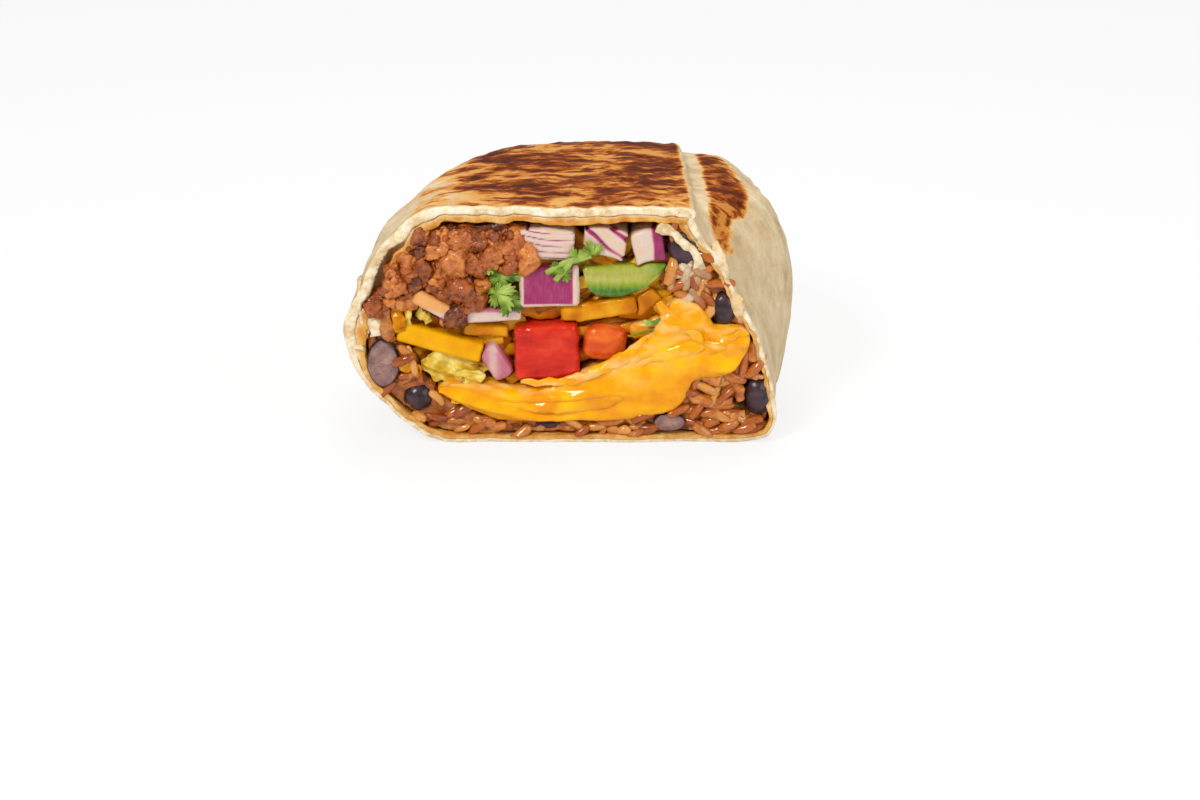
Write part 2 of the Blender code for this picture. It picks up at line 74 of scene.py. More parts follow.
# Clockwise from the upper left: X and Z at the cut, X and Z at the fullest section, and the wall.
OUTLINE = [
    (-28.5, 51.6, -27.0, 50.2, 3.6),
    (-13.6, 52.6, -12.0, 52.2, 3.4),
    (2.0, 52.2, 6.0, 52.7, 3.5),
    (16.2, 52.5, 22.0, 52.4, 3.6),
    (26.6, 51.4, 35.0, 50.4, 3.2),
    (31.6, 43.2, 44.2, 45.0, 2.4),
    (35.8, 35.0, 48.8, 35.5, 1.9),
    (41.6, 24.0, 49.8, 24.0, 1.8),
    (45.2, 12.5, 48.8, 12.5, 1.8),
    (45.2, 3.2, 45.4, 3.2, 1.8),
    (37.0, 0.0, 37.5, 0.0, 1.7),
    (6.0, 0.0, 7.0, 0.0, 1.6),
    (-23.5, 0.0, -21.5, 0.0, 1.7),
    (-33.6, 4.2, -33.0, 3.6, 2.0),
    (-42.0, 13.2, -41.0, 12.5, 2.5),
    (-46.2, 24.6, -44.6, 24.0, 4.4),
    (-43.6, 35.0, -42.2, 34.5, 5.2),
    (-37.6, 44.8, -36.5, 43.5, 5.0),
]
SEAM_FRONT_X, SEAM_BACK_X, SEAM_BACK_DEPTH = 27.6, 25.5, 66.0
SEAM_STEP = 1.3


def srgb(red, green, blue):
    """A colour seen on screen, 0 to 255, as the linear colour that a material takes."""
    shares = np.array([red, green, blue]) / 255
    linear = np.where(shares > 0.04045, ((shares + 0.055) / 1.055) ** 2.4, shares / 12.92)
    return tuple(float(c) for c in linear)


# ---------------------------------------------------------------- numbers and shapes


def lattice(x, y, z, seed):
    """A fixed random number from -1 to 1 for each whole-numbered point."""
    mixed = (x * 374761393 + y * 668265263 + z * 1440662683 + seed * 974634777) & 0xFFFFFFFF
    mixed = ((mixed ^ (mixed >> 13)) * 1274126177) & 0xFFFFFFFF
    return ((mixed ^ (mixed >> 16)) & 0xFFFFFF) / 0x7FFFFF - 1.0


def noise(points, size, seed=0):
    """Smooth noise from -1 to 1 with features about `size` mm across."""
    turned = points @ np.array([[0.80, 0.48, -0.36], [-0.60, 0.64, -0.48], [0.0, 0.60, 0.80]])
    scaled = turned / size + 100.0 + seed * 0.37
    cell = np.floor(scaled).astype(np.int64)
    share = scaled - cell
    share = share**3 * (share * (share * 6 - 15) + 10)
    total = 0.0
    for corner in np.ndindex(2, 2, 2):
        weight = np.prod(np.where(np.array(corner) == 1, share, 1 - share), axis=1)
        total = total + weight * lattice(*(cell + corner).T, seed)
    return total


def fractal(points, size, octaves, seed=0, gain=0.5):
    """Noise with finer and finer detail, about -1 to 1."""
    layers = [noise(points, size / 2**k, seed + k) * gain**k for k in range(octaves)]
    return sum(layers) / sum(gain**k for k in range(octaves)) * 1.4


def step(value, low, high):
    """0 below low, 1 above high, and smooth between."""
    share = np.clip((value - low) / (high - low), 0, 1)
    return share * share * (3 - 2 * share)


def smooth_closed(rows, count):
    """Points spaced evenly in parameter on a closed Catmull-Rom curve through the rows."""
    rows = np.asarray(rows, float)
    t = np.arange(count) * len(rows) / count
    i = np.floor(t).astype(int)
    f = (t - i)[:, None]
    before, here, after, beyond = (rows[(i + k) % len(rows)] for k in (-1, 0, 1, 2))
    return 0.5 * (
        2 * here
        + (after - before) * f
        + (2 * before - 5 * here + 4 * after - beyond) * f**2
        + (3 * here - before - 3 * after + beyond) * f**3
    )


def smooth_path(points, count):
    """An open curve through a few points, resampled."""
    points = np.asarray(points, float)
    if len(points) == 2:
        return points[0] + np.linspace(0, 1, count)[:, None] * (points[1] - points[0])
    ends = np.vstack([2 * points[0] - points[1], points, 2 * points[-1] - points[-2]])
    t = np.linspace(0, len(points) - 1 - 1e-6, count)
    i = np.floor(t).astype(int)
    f = (t - i)[:, None]
    before, here, after, beyond = (ends[i + k] for k in range(4))
    return 0.5 * (
        2 * here
        + (after - before) * f
        + (2 * before - 5 * here + 4 * after - beyond) * f**2
        + (3 * here - before - 3 * after + beyond) * f**3
    )


def outward_normals(section):
    along = np.roll(section, -1, axis=0) - np.roll(section, 1, axis=0)
    normals = np.stack([-along[:, 1], along[:, 0]], axis=1)
    return normals / np.linalg.norm(normals, axis=1)[:, None]


def taper(depth, exponent):
    share = min(max((depth - FULL_DEPTH) / (LENGTH - FULL_DEPTH), 0.0), 0.9995)
    return (1 - share**exponent) ** (1 / exponent)


def wrap_section(depth):
    """(outline, wall) of the wrap at a depth."""
    rows = smooth_closed(OUTLINE, AROUND)
    share = min(max(depth / FULL_DEPTH, 0.0), 1.0)
    share = share * share * (3 - 2 * share)
    section = rows[:, 0:2] * (1 - share) + rows[:, 2:4] * share
    section[:, 1] = np.maximum(section[:, 1], 0.0)
    reach = section[:, 0] - TAPER_MIDDLE_X
    sideways = np.where(reach > 0, taper(depth, RIGHT_ROUNDING), taper(depth, LEFT_ROUNDING))
    section[:, 0] = TAPER_MIDDLE_X + reach * sideways
    height = section[:, 1] - TAPER_MIDDLE_Z
    scale = np.where(height > 0, taper(depth, TOP_ROUNDING), taper(depth, BASE_ROUNDING))
    section[:, 1] = TAPER_MIDDLE_Z + height * scale
    return section, rows[:, 4]


# The plan's origin in the frame: the cut plane is the front of the wrap, its left side the side of the box.
ORIGIN = np.array([
    CAD_BOX[0][0] - wrap_section(0)[0][:, 0].min() * MM,
    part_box("tortilla_wrap")[0].y,
    CAD_BOX[0][2],
])


def place(points):
    """Points of the plan in the frame's metres."""
    return np.asarray(points, float) * MM + ORIGIN


def held_back(points):
    """The same points with none further out of the cut than the filling may bulge."""
    points = np.array(points, float)
    points[:, 1] = np.maximum(points[:, 1], -FURTHEST_OUT)
    return points


def in_plan(points):
    return (np.asarray(points, float) - ORIGIN) / MM


def middle_of(node):
    """(middle, size) of a CAD node in the plan."""
    low, high = (in_plan(np.array(corner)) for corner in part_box(node))
    return (low + high) / 2, high - low


def read_points(mesh):
    flat = np.zeros(len(mesh.vertices) * 3)
    mesh.vertices.foreach_get("co", flat)
    return in_plan(flat.reshape(-1, 3))


def read_normals(mesh):
    flat = np.zeros(len(mesh.vertices) * 3)
    mesh.vertices.foreach_get("normal", flat)
    return flat.reshape(-1, 3)


def write_points(mesh, points):
    mesh.vertices.foreach_set("co", place(held_back(points)).ravel())
    mesh.update()


def paint(obj, name, values):
    """Stores a number at each point, which the material reads."""
    layer = obj.data.attributes.get(name) or obj.data.attributes.new(name, "FLOAT", "POINT")
    layer.data.foreach_set("value", np.asarray(values, np.float32))


def new_piece(name, points, faces, material):
    mesh = bpy.data.meshes.new(name)
    mesh.from_pydata(place(held_back(points)).tolist(), [], faces)
    mesh.validate()
    mesh.shade_smooth()
    obj = bpy.data.objects.new(name, mesh)
    bpy.context.scene.collection.objects.link(obj)
    obj.data.materials.append(material)
    return obj


def belongs(obj, slot, *nodes):
    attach(obj, "root")
    if nodes:
        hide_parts(*nodes)
    return obj


def apply_modifiers(obj):
    graph = bpy.context.evaluated_depsgraph_get()
    mesh = bpy.data.meshes.new_from_object(obj.evaluated_get(graph))
    obj.modifiers.clear()
    obj.data = mesh


class Batch:
    """Many small shapes gathered into one piece, each with a tint from 0 to 1."""

    def __init__(self):
        self.points, self.faces, self.tints, self.count = [], [], [], 0

    def add(self, points, faces, tint=0.5):
        self.points.append(points)
        self.faces.extend(tuple(k + self.count for k in face) for face in faces)
        self.tints.append(np.broadcast_to(np.asarray(tint, float), len(points)))
        self.count += len(points)

    def build(self, name, material):
        obj = new_piece(name, np.concatenate(self.points), self.faces, material)
        paint(obj, "tint", np.concatenate(self.tints))
        return obj


def unit_ball(level):
    bm = bmesh.new()
    bmesh.ops.create_icosphere(bm, subdivisions=level, radius=1.0)
    points = np.array([v.co for v in bm.verts])
    faces = [tuple(v.index for v in f.verts) for f in bm.faces]
    bm.free()
    return points, faces


BALLS = {level: unit_ball(level) for level in (3, 4)}


def random_turn(rng):
    """A random rotation matrix."""
    matrix, _ = np.linalg.qr(rng.normal(size=(3, 3)))
    return matrix * np.sign(np.linalg.det(matrix))


def chunk(middle, radii, turn, level, rng, seed):
    """A torn crumb of meat: a ball with flattened sides, then roughened: points and faces."""
    points, faces = BALLS[level]
    sides = rng.normal(size=(9, 3))
    sides /= np.linalg.norm(sides, axis=1)[:, None]
    limits = rng.uniform(0.52, 0.95, 9)
    reach = np.min(limits / np.maximum(points @ sides.T, 0.05), axis=1)
    reach = 1 / (1 / np.minimum(reach, 1.0) ** 6 + 1.0) ** (1 / 6) * 1.12
    size = float(np.mean(radii))
    clefts = 1 - np.abs(fractal(points * size, 2.0, 2, seed)) * 2.2
    rough = 0.14 * fractal(points * size, 0.9, 3, seed + 9) - 0.20 * np.maximum(clefts, 0) ** 3
    shaped = points * (reach + rough)[:, None] * np.asarray(radii)
    return shaped @ turn.T + np.asarray(middle), faces


def grain(middle, direction, length, width, bend, rng, sides=8, rings=9):
    """A cooked rice grain: a slightly bent long oval."""
    direction = np.asarray(direction, float)
    direction /= np.linalg.norm(direction)
    side = np.cross(direction, rng.normal(size=3))
    side /= np.linalg.norm(side)
    other = np.cross(direction, side)
    turn = np.linspace(0, math.pi, rings)
    along = -np.cos(turn) * length / 2
    radius = np.sin(turn) ** 0.5 * width / 2
    around = np.arange(sides) * 2 * math.pi / sides
    bow = bend * (1 - (2 * along / length) ** 2)
    centre = np.asarray(middle) + along[:, None] * direction + bow[:, None] * side
    ring = np.cos(around)[:, None] * side + 0.85 * np.sin(around)[:, None] * other
    points = centre[1:-1, None, :] + radius[1:-1, None, None] * ring[None]
    points = np.vstack([points.reshape(-1, 3), centre[:1], centre[-1:]])
    inner = rings - 2
    faces = []
    for r in range(inner - 1):
        for k in range(sides):
            n = (k + 1) % sides
            faces.append((r * sides + k, r * sides + n, (r + 1) * sides + n, (r + 1) * sides + k))
    first, last = inner * sides, inner * sides + 1
    for k in range(sides):
        n = (k + 1) % sides
        faces.append((first, n, k))
        faces.append((last, (inner - 1) * sides + k, (inner - 1) * sides + n))
    return points, faces


def strand(path, widths, thicknesses, facing, count=24, sides=10, boxy=1.0, seed=0, rough=0.0):
    """A strip or stem swept along a path: an oval or boxy section with its width across `facing`."""
    centre = smooth_path(path, count)
    along = np.gradient(centre, axis=0)
    along /= np.linalg.norm(along, axis=1)[:, None]
    facing = np.asarray(facing, float)
    across = np.cross(along, facing)
    across /= np.linalg.norm(across, axis=1)[:, None]
    out = np.cross(across, along)
    share = np.linspace(0, 1, count)
    width = np.interp(share, np.linspace(0, 1, len(widths)), widths) / 2
    thick = np.interp(share, np.linspace(0, 1, len(thicknesses)), thicknesses) / 2
    around = (np.arange(sides) + 0.5) * 2 * math.pi / sides
    c, s = np.cos(around), np.sin(around)
    c, s = np.sign(c) * np.abs(c) ** boxy, np.sign(s) * np.abs(s) ** boxy
    points = (
        centre[:, None, :]
        + (width[:, None] * c)[:, :, None] * across[:, None, :]
        + (thick[:, None] * s)[:, :, None] * out[:, None, :]
    ).reshape(-1, 3)
    if rough:
        points = points + rough * np.stack([fractal(points, 2.2, 2, seed + k) for k in range(3)], axis=1)
    faces = []
    for r in range(count - 1):
        for k in range(sides):
            n = (k + 1) % sides
            faces.append((r * sides + n, r * sides + k, (r + 1) * sides + k, (r + 1) * sides + n))
    faces.append(tuple(range(sides)))
    faces.append(tuple((count - 1) * sides + k for k in reversed(range(sides))))
    return points, faces


def grid_faces(rings, around):
    """The faces between closed rings of points."""
    faces = []
    for r in range(rings - 1):
        for k in range(around):
            n = (k + 1) % around
            faces.append((r * around + k, r * around + n, (r + 1) * around + n, (r + 1) * around + k))
    return faces


def refined(name, node, voxel, rounds, material, shape=None, depth=None):
    """A finer copy of a CAD node: remeshed, smoothed and then shaped by a function of points and normals.

    Where a depth is given, only the node's front is refined, and the rest stays as coarse as it is.
    """
    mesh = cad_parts[node].data.copy()
    welded(mesh)
    obj = bpy.data.objects.new(name, mesh)
    bpy.context.scene.collection.objects.link(obj)
    rest = None
    if depth is not None:
        rest = sliced(mesh, depth, keep_front=False)
        obj.data = sliced(mesh, depth, keep_front=True)
    remesh = obj.modifiers.new("remesh", "REMESH")
    remesh.mode = "VOXEL"
    remesh.voxel_size = voxel * MM
    smooth = obj.modifiers.new("smooth", "SMOOTH")
    smooth.iterations = rounds
    smooth.factor = 0.5
    apply_modifiers(obj)
    if shape is not None:
        points, normals = read_points(obj.data), read_normals(obj.data)
        write_points(obj.data, shape(points, normals))
    if rest is not None and len(rest.vertices):
        bm = bmesh.new()
        bm.from_mesh(obj.data)
        bm.from_mesh(rest)
        bm.to_mesh(obj.data)
        bm.free()
    obj.data.shade_smooth()
    obj.data.materials.clear()
    obj.data.materials.append(material)
    return obj


def welded(mesh):
    """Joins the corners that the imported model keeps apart, so that the mesh is closed."""
    bm = bmesh.new()
    bm.from_mesh(mesh)
    bmesh.ops.remove_doubles(bm, verts=bm.verts, dist=0.0005 * MM)
    bm.to_mesh(mesh)
    bm.free()


def sliced(mesh, depth, keep_front):
    """The part of a mesh in front of or behind a depth, closed at the slice."""
    bm = bmesh.new()
    bm.from_mesh(mesh)
    plane = Vector((0, depth * MM + ORIGIN[1], 0))
    geometry = bm.verts[:] + bm.edges[:] + bm.faces[:]
    bmesh.ops.bisect_plane(
        bm, geom=geometry, plane_co=plane, plane_no=(0, 1, 0),
        clear_outer=keep_front, clear_inner=not keep_front,
    )
    bmesh.ops.holes_fill(bm, edges=[e for e in bm.edges if e.is_boundary])
    result = bpy.data.meshes.new(mesh.name + "_part")
    bm.to_mesh(result)
    bm.free()
    return result


# ---------------------------------------------------------------- materials


class Look:
    """A material whose nodes are added one call at a time. Sizes of its noise are in millimetres."""

    def __init__(
        self, name, roughness=0.5, subsurface=0.0, coat=0.0, coat_roughness=0.15, specular=0.3,
        glint=(1.0, 1.0, 1.0),
    ):
        self.material = bpy.data.materials.new(name)
        self.material.use_nodes = True
        self.tree = self.material.node_tree
        self.shader = self.tree.nodes["Principled BSDF"]
        self.shader.inputs["Roughness"].default_value = roughness
        self.shader.inputs["Specular IOR Level"].default_value = specular
        self.shader.inputs["Subsurface Weight"].default_value = subsurface
        self.shader.inputs["Subsurface Scale"].default_value = 0.002
        self.shader.inputs["Subsurface Radius"].default_value = (1.0, 0.5, 0.25)
        self.shader.inputs["Coat Weight"].default_value = coat
        self.shader.inputs["Coat Roughness"].default_value = coat_roughness
        self.shader.inputs["Specular Tint"].default_value = (*glint, 1.0)
        self.coordinates = self.tree.nodes.new("ShaderNodeTexCoord").outputs["Object"]

    def link(self, source, socket):
        if isinstance(source, (int, float)):
            socket.default_value = source
        elif isinstance(source, tuple):
            socket.default_value = (*source, 1.0)
        else:
            self.tree.links.new(source, socket)

    def attribute(self, name):
        node = self.tree.nodes.new("ShaderNodeAttribute")
        node.attribute_name = name
        return node.outputs["Fac"]

    def noise(self, size, detail=3.0, roughness=0.55, stretch=(1, 1, 1), distortion=0.0):
        mapping = self.tree.nodes.new("ShaderNodeMapping")
        mapping.inputs["Scale"].default_value = tuple(1 / s for s in stretch)
        self.link(self.coordinates, mapping.inputs["Vector"])
        node = self.tree.nodes.new("ShaderNodeTexNoise")
        node.inputs["Scale"].default_value = 1 / (size * MM)
        node.inputs["Detail"].default_value = detail
        node.inputs["Roughness"].default_value = roughness
        node.inputs["Distortion"].default_value = distortion
        self.link(mapping.outputs["Vector"], node.inputs["Vector"])
        return node.outputs["Fac"]

    def ramp(self, value, *stops):
        """A colour ramp through (place, colour) stops."""
        node = self.tree.nodes.new("ShaderNodeValToRGB")
        elements = node.color_ramp.elements
        while len(elements) < len(stops):
            elements.new(0.5)
        for element, (spot, colour) in zip(elements, stops, strict=True):
            element.position = spot
            element.color = (*colour, 1.0) if isinstance(colour, tuple) else (colour, colour, colour, 1.0)
        self.link(value, node.inputs["Fac"])
        return node.outputs["Color"]

    def mix(self, share, first, second):
        node = self.tree.nodes.new("ShaderNodeMix")
        node.data_type = "RGBA"
        self.link(share, node.inputs["Factor"])
        self.link(first, node.inputs["A"])
        self.link(second, node.inputs["B"])
        return node.outputs["Result"]

    def math(self, operation, first, second=0.0, clamp=False):
        node = self.tree.nodes.new("ShaderNodeMath")
        node.operation = operation
        node.use_clamp = clamp
        self.link(first, node.inputs[0])
        self.link(second, node.inputs[1])
        return node.outputs[0]

    def colour(self, source):
        self.link(source, self.shader.inputs["Base Color"])
        return self

    def roughness(self, source):
        self.link(source, self.shader.inputs["Roughness"])
        return self

    def bump(self, height, depth):
        """Relief from a height of 0 to 1, `depth` mm deep."""
        node = self.tree.nodes.new("ShaderNodeBump")
        node.inputs["Distance"].default_value = depth * MM
        node.inputs["Strength"].default_value = 1.0
        self.link(height, node.inputs["Height"])
        self.link(node.outputs["Normal"], self.shader.inputs["Normal"])
        return self


def tortilla_look():
    """Floury flatbread: cream with faint mottling, browned where the griddle met it."""
    look = Look("tortilla", roughness=0.62, subsurface=0.1, specular=0.14, glint=(1.0, 0.72, 0.40))
    toast, rim, inner = look.attribute("toast"), look.attribute("rim"), look.attribute("inner")
    mottle = look.noise(6.0, 5.0, 0.65, stretch=(1.0, 0.8, 1.8))
    pale = look.ramp(
        mottle,
        (0.34, srgb(184, 158, 118)),
        (0.46, srgb(200, 176, 138)),
        (0.56, srgb(209, 187, 150)),
        (0.72, srgb(222, 204, 170)),
    )
    freckle = look.noise(2.4, 3.0, 0.6)
    pale = look.mix(look.ramp(freckle, (0.58, 0.0), (0.76, 0.25)), pale, srgb(196, 156, 104))
    blotch = look.noise(7.0, 5.0, 0.62, stretch=(1.5, 1.0, 1.2), distortion=0.9)
    fine = look.noise(2.4, 4.0, 0.62, stretch=(2.4, 0.9, 1.0), distortion=0.5)
    pattern = look.math("ADD", look.math("MULTIPLY", blotch, 0.55), look.math("MULTIPLY", fine, 0.45))
    spread = look.ramp(pattern, (0.43, 0.0), (0.60, 1.0))
    missed = look.math("MULTIPLY", look.math("SUBTRACT", 1.0, toast), 0.68)
    heat = look.math("ADD", look.math("MULTIPLY", spread, 0.62), 0.33)
    heat = look.math("SUBTRACT", heat, missed, clamp=True)
    heat = look.math("MULTIPLY", heat, look.ramp(toast, (0.02, 0.0), (0.30, 1.0)))
    browned = look.ramp(
        heat,
        (0.10, srgb(218, 174, 108)),
        (0.34, srgb(206, 146, 72)),
        (0.50, srgb(176, 98, 30)),
        (0.66, srgb(122, 50, 10)),
        (0.92, srgb(72, 24, 4)),
    )
    griddled = look.mix(look.ramp(heat, (0.02, 0.0), (0.24, 1.0)), pale, browned)
    dough = look.ramp(
        look.noise(1.9, 4.0, 0.6),
        (0.35, srgb(206, 174, 126)),
        (0.50, srgb(228, 208, 170)),
        (0.68, srgb(240, 230, 208)),
    )
    soaked = look.ramp(
        look.noise(3.0, 3.0),
        (0.35, srgb(198, 126, 44)),
        (0.58, srgb(222, 170, 90)),
        (0.75, srgb(236, 204, 146)),
    )
    face = look.mix(inner, dough, soaked)
    look.colour(look.mix(rim, griddled, face))
    look.roughness(look.ramp(look.math("MULTIPLY", rim, inner), (0.0, 0.62), (1.0, 0.38)))
    wrinkle = look.noise(3.2, 4.0, 0.6, stretch=(1.6, 1.0, 0.7))
    pores = look.noise(0.7, 3.0, 0.6)
    relief = look.math("ADD", look.math("MULTIPLY", wrinkle, 0.7), look.math("MULTIPLY", pores, 0.3))
    look.bump(relief, 0.55)
    return look.material


def moist_look(
    name, dark, middle, light, size=3.0, roughness=(0.28, 0.5), relief=(0.8, 0.10), tinted=0.6, **finish
):
    """Moist food: three shades by noise and by each piece's tint, with soft uneven gloss and faint relief."""
    look = Look(name, **finish)
    patches = look.noise(size, 4.0, 0.6)
    shade = look.mix(tinted, patches, look.attribute("tint"))
    look.colour(look.ramp(shade, (0.25, dark), (0.50, middle), (0.78, light)))
    gloss = look.noise(size * 0.8, 3.0)
    look.roughness(look.ramp(gloss, (0.35, roughness[0]), (0.65, roughness[1])))
    relief_size, relief_depth = relief
    look.bump(look.noise(relief_size, 3.0, 0.55), relief_depth)
    return look.material


def banded_look(name, stops, spread=0.10, roughness=(0.22, 0.42), relief=(0.9, 0.08), streak=0.12, **finish):
    """Food whose colour follows a painted number, `band`, wavering a little."""
    look = Look(name, **finish)
    waver = look.math("MULTIPLY", look.math("SUBTRACT", look.noise(1.6, 3.0), 0.5), spread)
    colour = look.ramp(look.math("ADD", look.attribute("band"), waver), *stops)
    veins = look.ramp(look.noise(1.2, 4.0, 0.6, stretch=(0.6, 2.0, 2.4)), (0.45, 0.0), (0.75, streak))
    look.colour(look.mix(veins, colour, srgb(250, 240, 235)))
    look.roughness(look.ramp(look.noise(2.0, 3.0), (0.35, roughness[0]), (0.65, roughness[1])))
    look.bump(look.noise(relief[0], 3.0, 0.5), relief[1])
    return look.material


def make_looks():
    onion_stops = (
        (0.0, srgb(224, 156, 72)),
        (0.22, srgb(212, 190, 172)),
        (0.38, srgb(212, 182, 174)),
        (0.52, srgb(194, 126, 132)),
        (0.66, srgb(168, 26, 98)),
        (0.80, srgb(152, 16, 90)),
        (1.0, srgb(120, 12, 74)),
    )
    return {
        "tortilla": tortilla_look(),
        "rice": moist_look(
            "rice", srgb(122, 46, 2), srgb(178, 92, 18), srgb(220, 156, 74),
            2.0, (0.14, 0.34), (0.9, 0.06),
            subsurface=0.2, coat=0.6, coat_roughness=0.08,
        ),
        "pale_rice": moist_look(
            "pale_rice", srgb(150, 100, 58), srgb(192, 152, 112), srgb(224, 200, 170),
            2.6, (0.18, 0.4), (0.7, 0.06),
            subsurface=0.2, coat=0.2,
        ),
        "mash": moist_look(
            "mash", srgb(92, 36, 6), srgb(172, 94, 26), srgb(212, 150, 86),
            1.8, (0.18, 0.45), (0.8, 0.30),
            tinted=0.3, subsurface=0.15, coat=0.35, coat_roughness=0.1,
        ),
        "meat": moist_look(
            "meat", srgb(78, 26, 2), srgb(172, 84, 20), srgb(226, 140, 62),
            1.2, (0.2, 0.45), (0.5, 0.40),
            tinted=0.5, coat=0.5, coat_roughness=0.14,
        ),
        "melted_cheese": cheese_look(),
        "cheddar": moist_look(
            "cheddar", srgb(216, 142, 0), srgb(230, 164, 2), srgb(238, 180, 14),
            4.0, (0.36, 0.5), (0.8, 0.05),
            tinted=0.4, subsurface=0.15, coat=0.12, glint=(1.0, 0.7, 0.2),
        ),
        "shreds": moist_look(
            "shreds", srgb(168, 82, 0), srgb(204, 126, 0), srgb(232, 174, 30),
            2.2, (0.2, 0.4), (0.8, 0.08),
            tinted=0.7, subsurface=0.15, coat=0.2, coat_roughness=0.1, glint=(1.0, 0.7, 0.2),
        ),
        "tomato": tomato_look("tomato", srgb(178, 18, 6), srgb(204, 36, 18), srgb(220, 66, 38)),
        "pale_tomato": tomato_look("pale_tomato", srgb(206, 74, 18), srgb(226, 108, 38), srgb(238, 150, 86)),
        "onion": banded_look(
            "onion", onion_stops, streak=0.06, subsurface=0.2, coat=0.35, coat_roughness=0.1,
        ),
        "pepper": banded_look(
            "pepper",
            (
                (0.0, srgb(180, 176, 70)),
                (0.45, srgb(148, 158, 26)),
                (0.75, srgb(104, 140, 10)),
                (1.0, srgb(62, 108, 4)),
            ),
            roughness=(0.14, 0.3), subsurface=0.15, coat=0.4, coat_roughness=0.08,
        ),
        "bean_skin": moist_look(
            "bean_skin", srgb(34, 18, 22), srgb(58, 34, 42), srgb(92, 62, 74),
            3.0, (0.2, 0.4), (0.9, 0.05),
            tinted=0.2, coat=0.3,
        ),
        "bean": bean_look(),
        "lettuce": moist_look(
            "lettuce", srgb(172, 130, 6), srgb(214, 174, 44), srgb(238, 216, 120),
            2.2, (0.25, 0.45), (0.8, 0.10),
            tinted=0.4, subsurface=0.2, coat=0.15,
        ),
        "herb": moist_look(
            "herb", srgb(30, 70, 4), srgb(108, 140, 26), srgb(176, 194, 92),
            1.8, (0.25, 0.45), (0.6, 0.12),
            tinted=0.6, subsurface=0.1, coat=0.15,
        ),
    }


def cheese_look():
    """Melted cheese: saturated yellow-orange, paler streaks that are partly its own paler colour and partly
    painted highlight, soft uneven gloss.
    """
    look = Look("melted_cheese", subsurface=0.2, coat=0.45, coat_roughness=0.08, glint=(1.0, 0.6, 0.1))
    body = look.ramp(
        look.noise(6.0, 3.0),
        (0.35, srgb(230, 146, 0)),
        (0.52, srgb(242, 166, 0)),
        (0.70, srgb(250, 188, 4)),
    )
    # Paler streaks where the pale number allows them: part the cheese's own colour, part painted highlight.
    streaks = look.ramp(look.noise(2.2, 3.0, 0.5, stretch=(2.4, 1.0, 0.8)), (0.46, 0.0), (0.62, 1.0))
    pale = look.math("MULTIPLY", streaks, look.attribute("pale"))
    look.colour(look.mix(pale, body, srgb(242, 190, 110)))
    look.roughness(look.ramp(look.noise(3.0, 3.0), (0.35, 0.22), (0.65, 0.42)))
    look.bump(look.noise(1.8, 2.0, 0.5), 0.10)
    return look.material


def tomato_look(name, dark, middle, light):
    look = Look(name, subsurface=0.2, coat=0.35, coat_roughness=0.08, glint=(1.0, 0.4, 0.2))
    flesh = look.noise(4.0, 3.0, 0.5, stretch=(1.5, 1.0, 0.7))
    look.colour(look.ramp(flesh, (0.32, dark), (0.52, middle), (0.74, light)))
    look.roughness(look.ramp(look.noise(2.2, 3.0), (0.35, 0.16), (0.65, 0.34)))
    look.bump(look.noise(1.4, 2.0, 0.5, stretch=(1.4, 1.0, 0.6)), 0.10)
    return look.material


def bean_look():
    """A sliced black bean: mauve-brown mealy flesh inside a dark skin."""
    look = Look("bean", subsurface=0.1, coat=0.2)
    flesh = look.ramp(
        look.noise(2.2, 4.0, 0.6),
        (0.35, srgb(126, 92, 84)),
        (0.55, srgb(156, 118, 108)),
        (0.72, srgb(182, 146, 134)),
    )
    cracks = look.ramp(look.noise(3.4, 2.0, 0.4, distortion=1.2), (0.485, 0.0), (0.5, 0.7), (0.515, 0.0))
    flesh = look.mix(cracks, flesh, srgb(84, 54, 50))
    skin = look.ramp(look.noise(2.4, 3.0), (0.35, srgb(36, 20, 24)), (0.65, srgb(72, 46, 54)))
    look.colour(look.mix(look.attribute("flesh"), skin, flesh))
    look.roughness(look.ramp(look.attribute("flesh"), (0.0, 0.28), (1.0, 0.48)))
    look.bump(look.noise(0.9, 3.0, 0.5), 0.08)
    return look.material


# ---------------------------------------------------------------- the wrap


def toast_mask(points, normals):
    """How much each point of the outside met the griddle."""
    x, y, z = points.T
    top = step(normals[:, 2], 0.66, 0.94) * step(z, 42, 48)
    edge = seam_x(y)
    left_part = top * step(edge - x, 0.4, 1.6)
    front_fade = 1 - 0.55 * step(-x - 22 - 0.06 * y, -6, 5)
    left_part = left_part * (0.86 + 0.18 * step(y, 1.5, 12)) * front_fade
    left_part = left_part * (1 - 0.45 * step(1.8 - y, 0, 1.5))
    reach = 30.2 + 8.6 * np.maximum(np.sin(math.pi * np.clip(y + 1, 0, 56) / 56), 0.0) ** 0.8
    wobble = 1.2 * fractal(points, 7.0, 2, 5)
    patch = step(x - edge, 2.6, 4.2) * step(reach + wobble - x, -1.2, 1.4) * step(z, 35, 40)
    patch = patch * step(y, 2, 6) * step(60 - y, 0, 6)
    under = step(-normals[:, 2], 0.85, 0.98) * step(6 - z, 0, 3) * 0.8
    return np.clip(np.maximum(np.maximum(left_part, patch * 1.14), under), 0, 1.14)


def seam_x(depth):
    return SEAM_FRONT_X + (SEAM_BACK_X - SEAM_FRONT_X) * np.clip(depth, 0, LENGTH) / SEAM_BACK_DEPTH


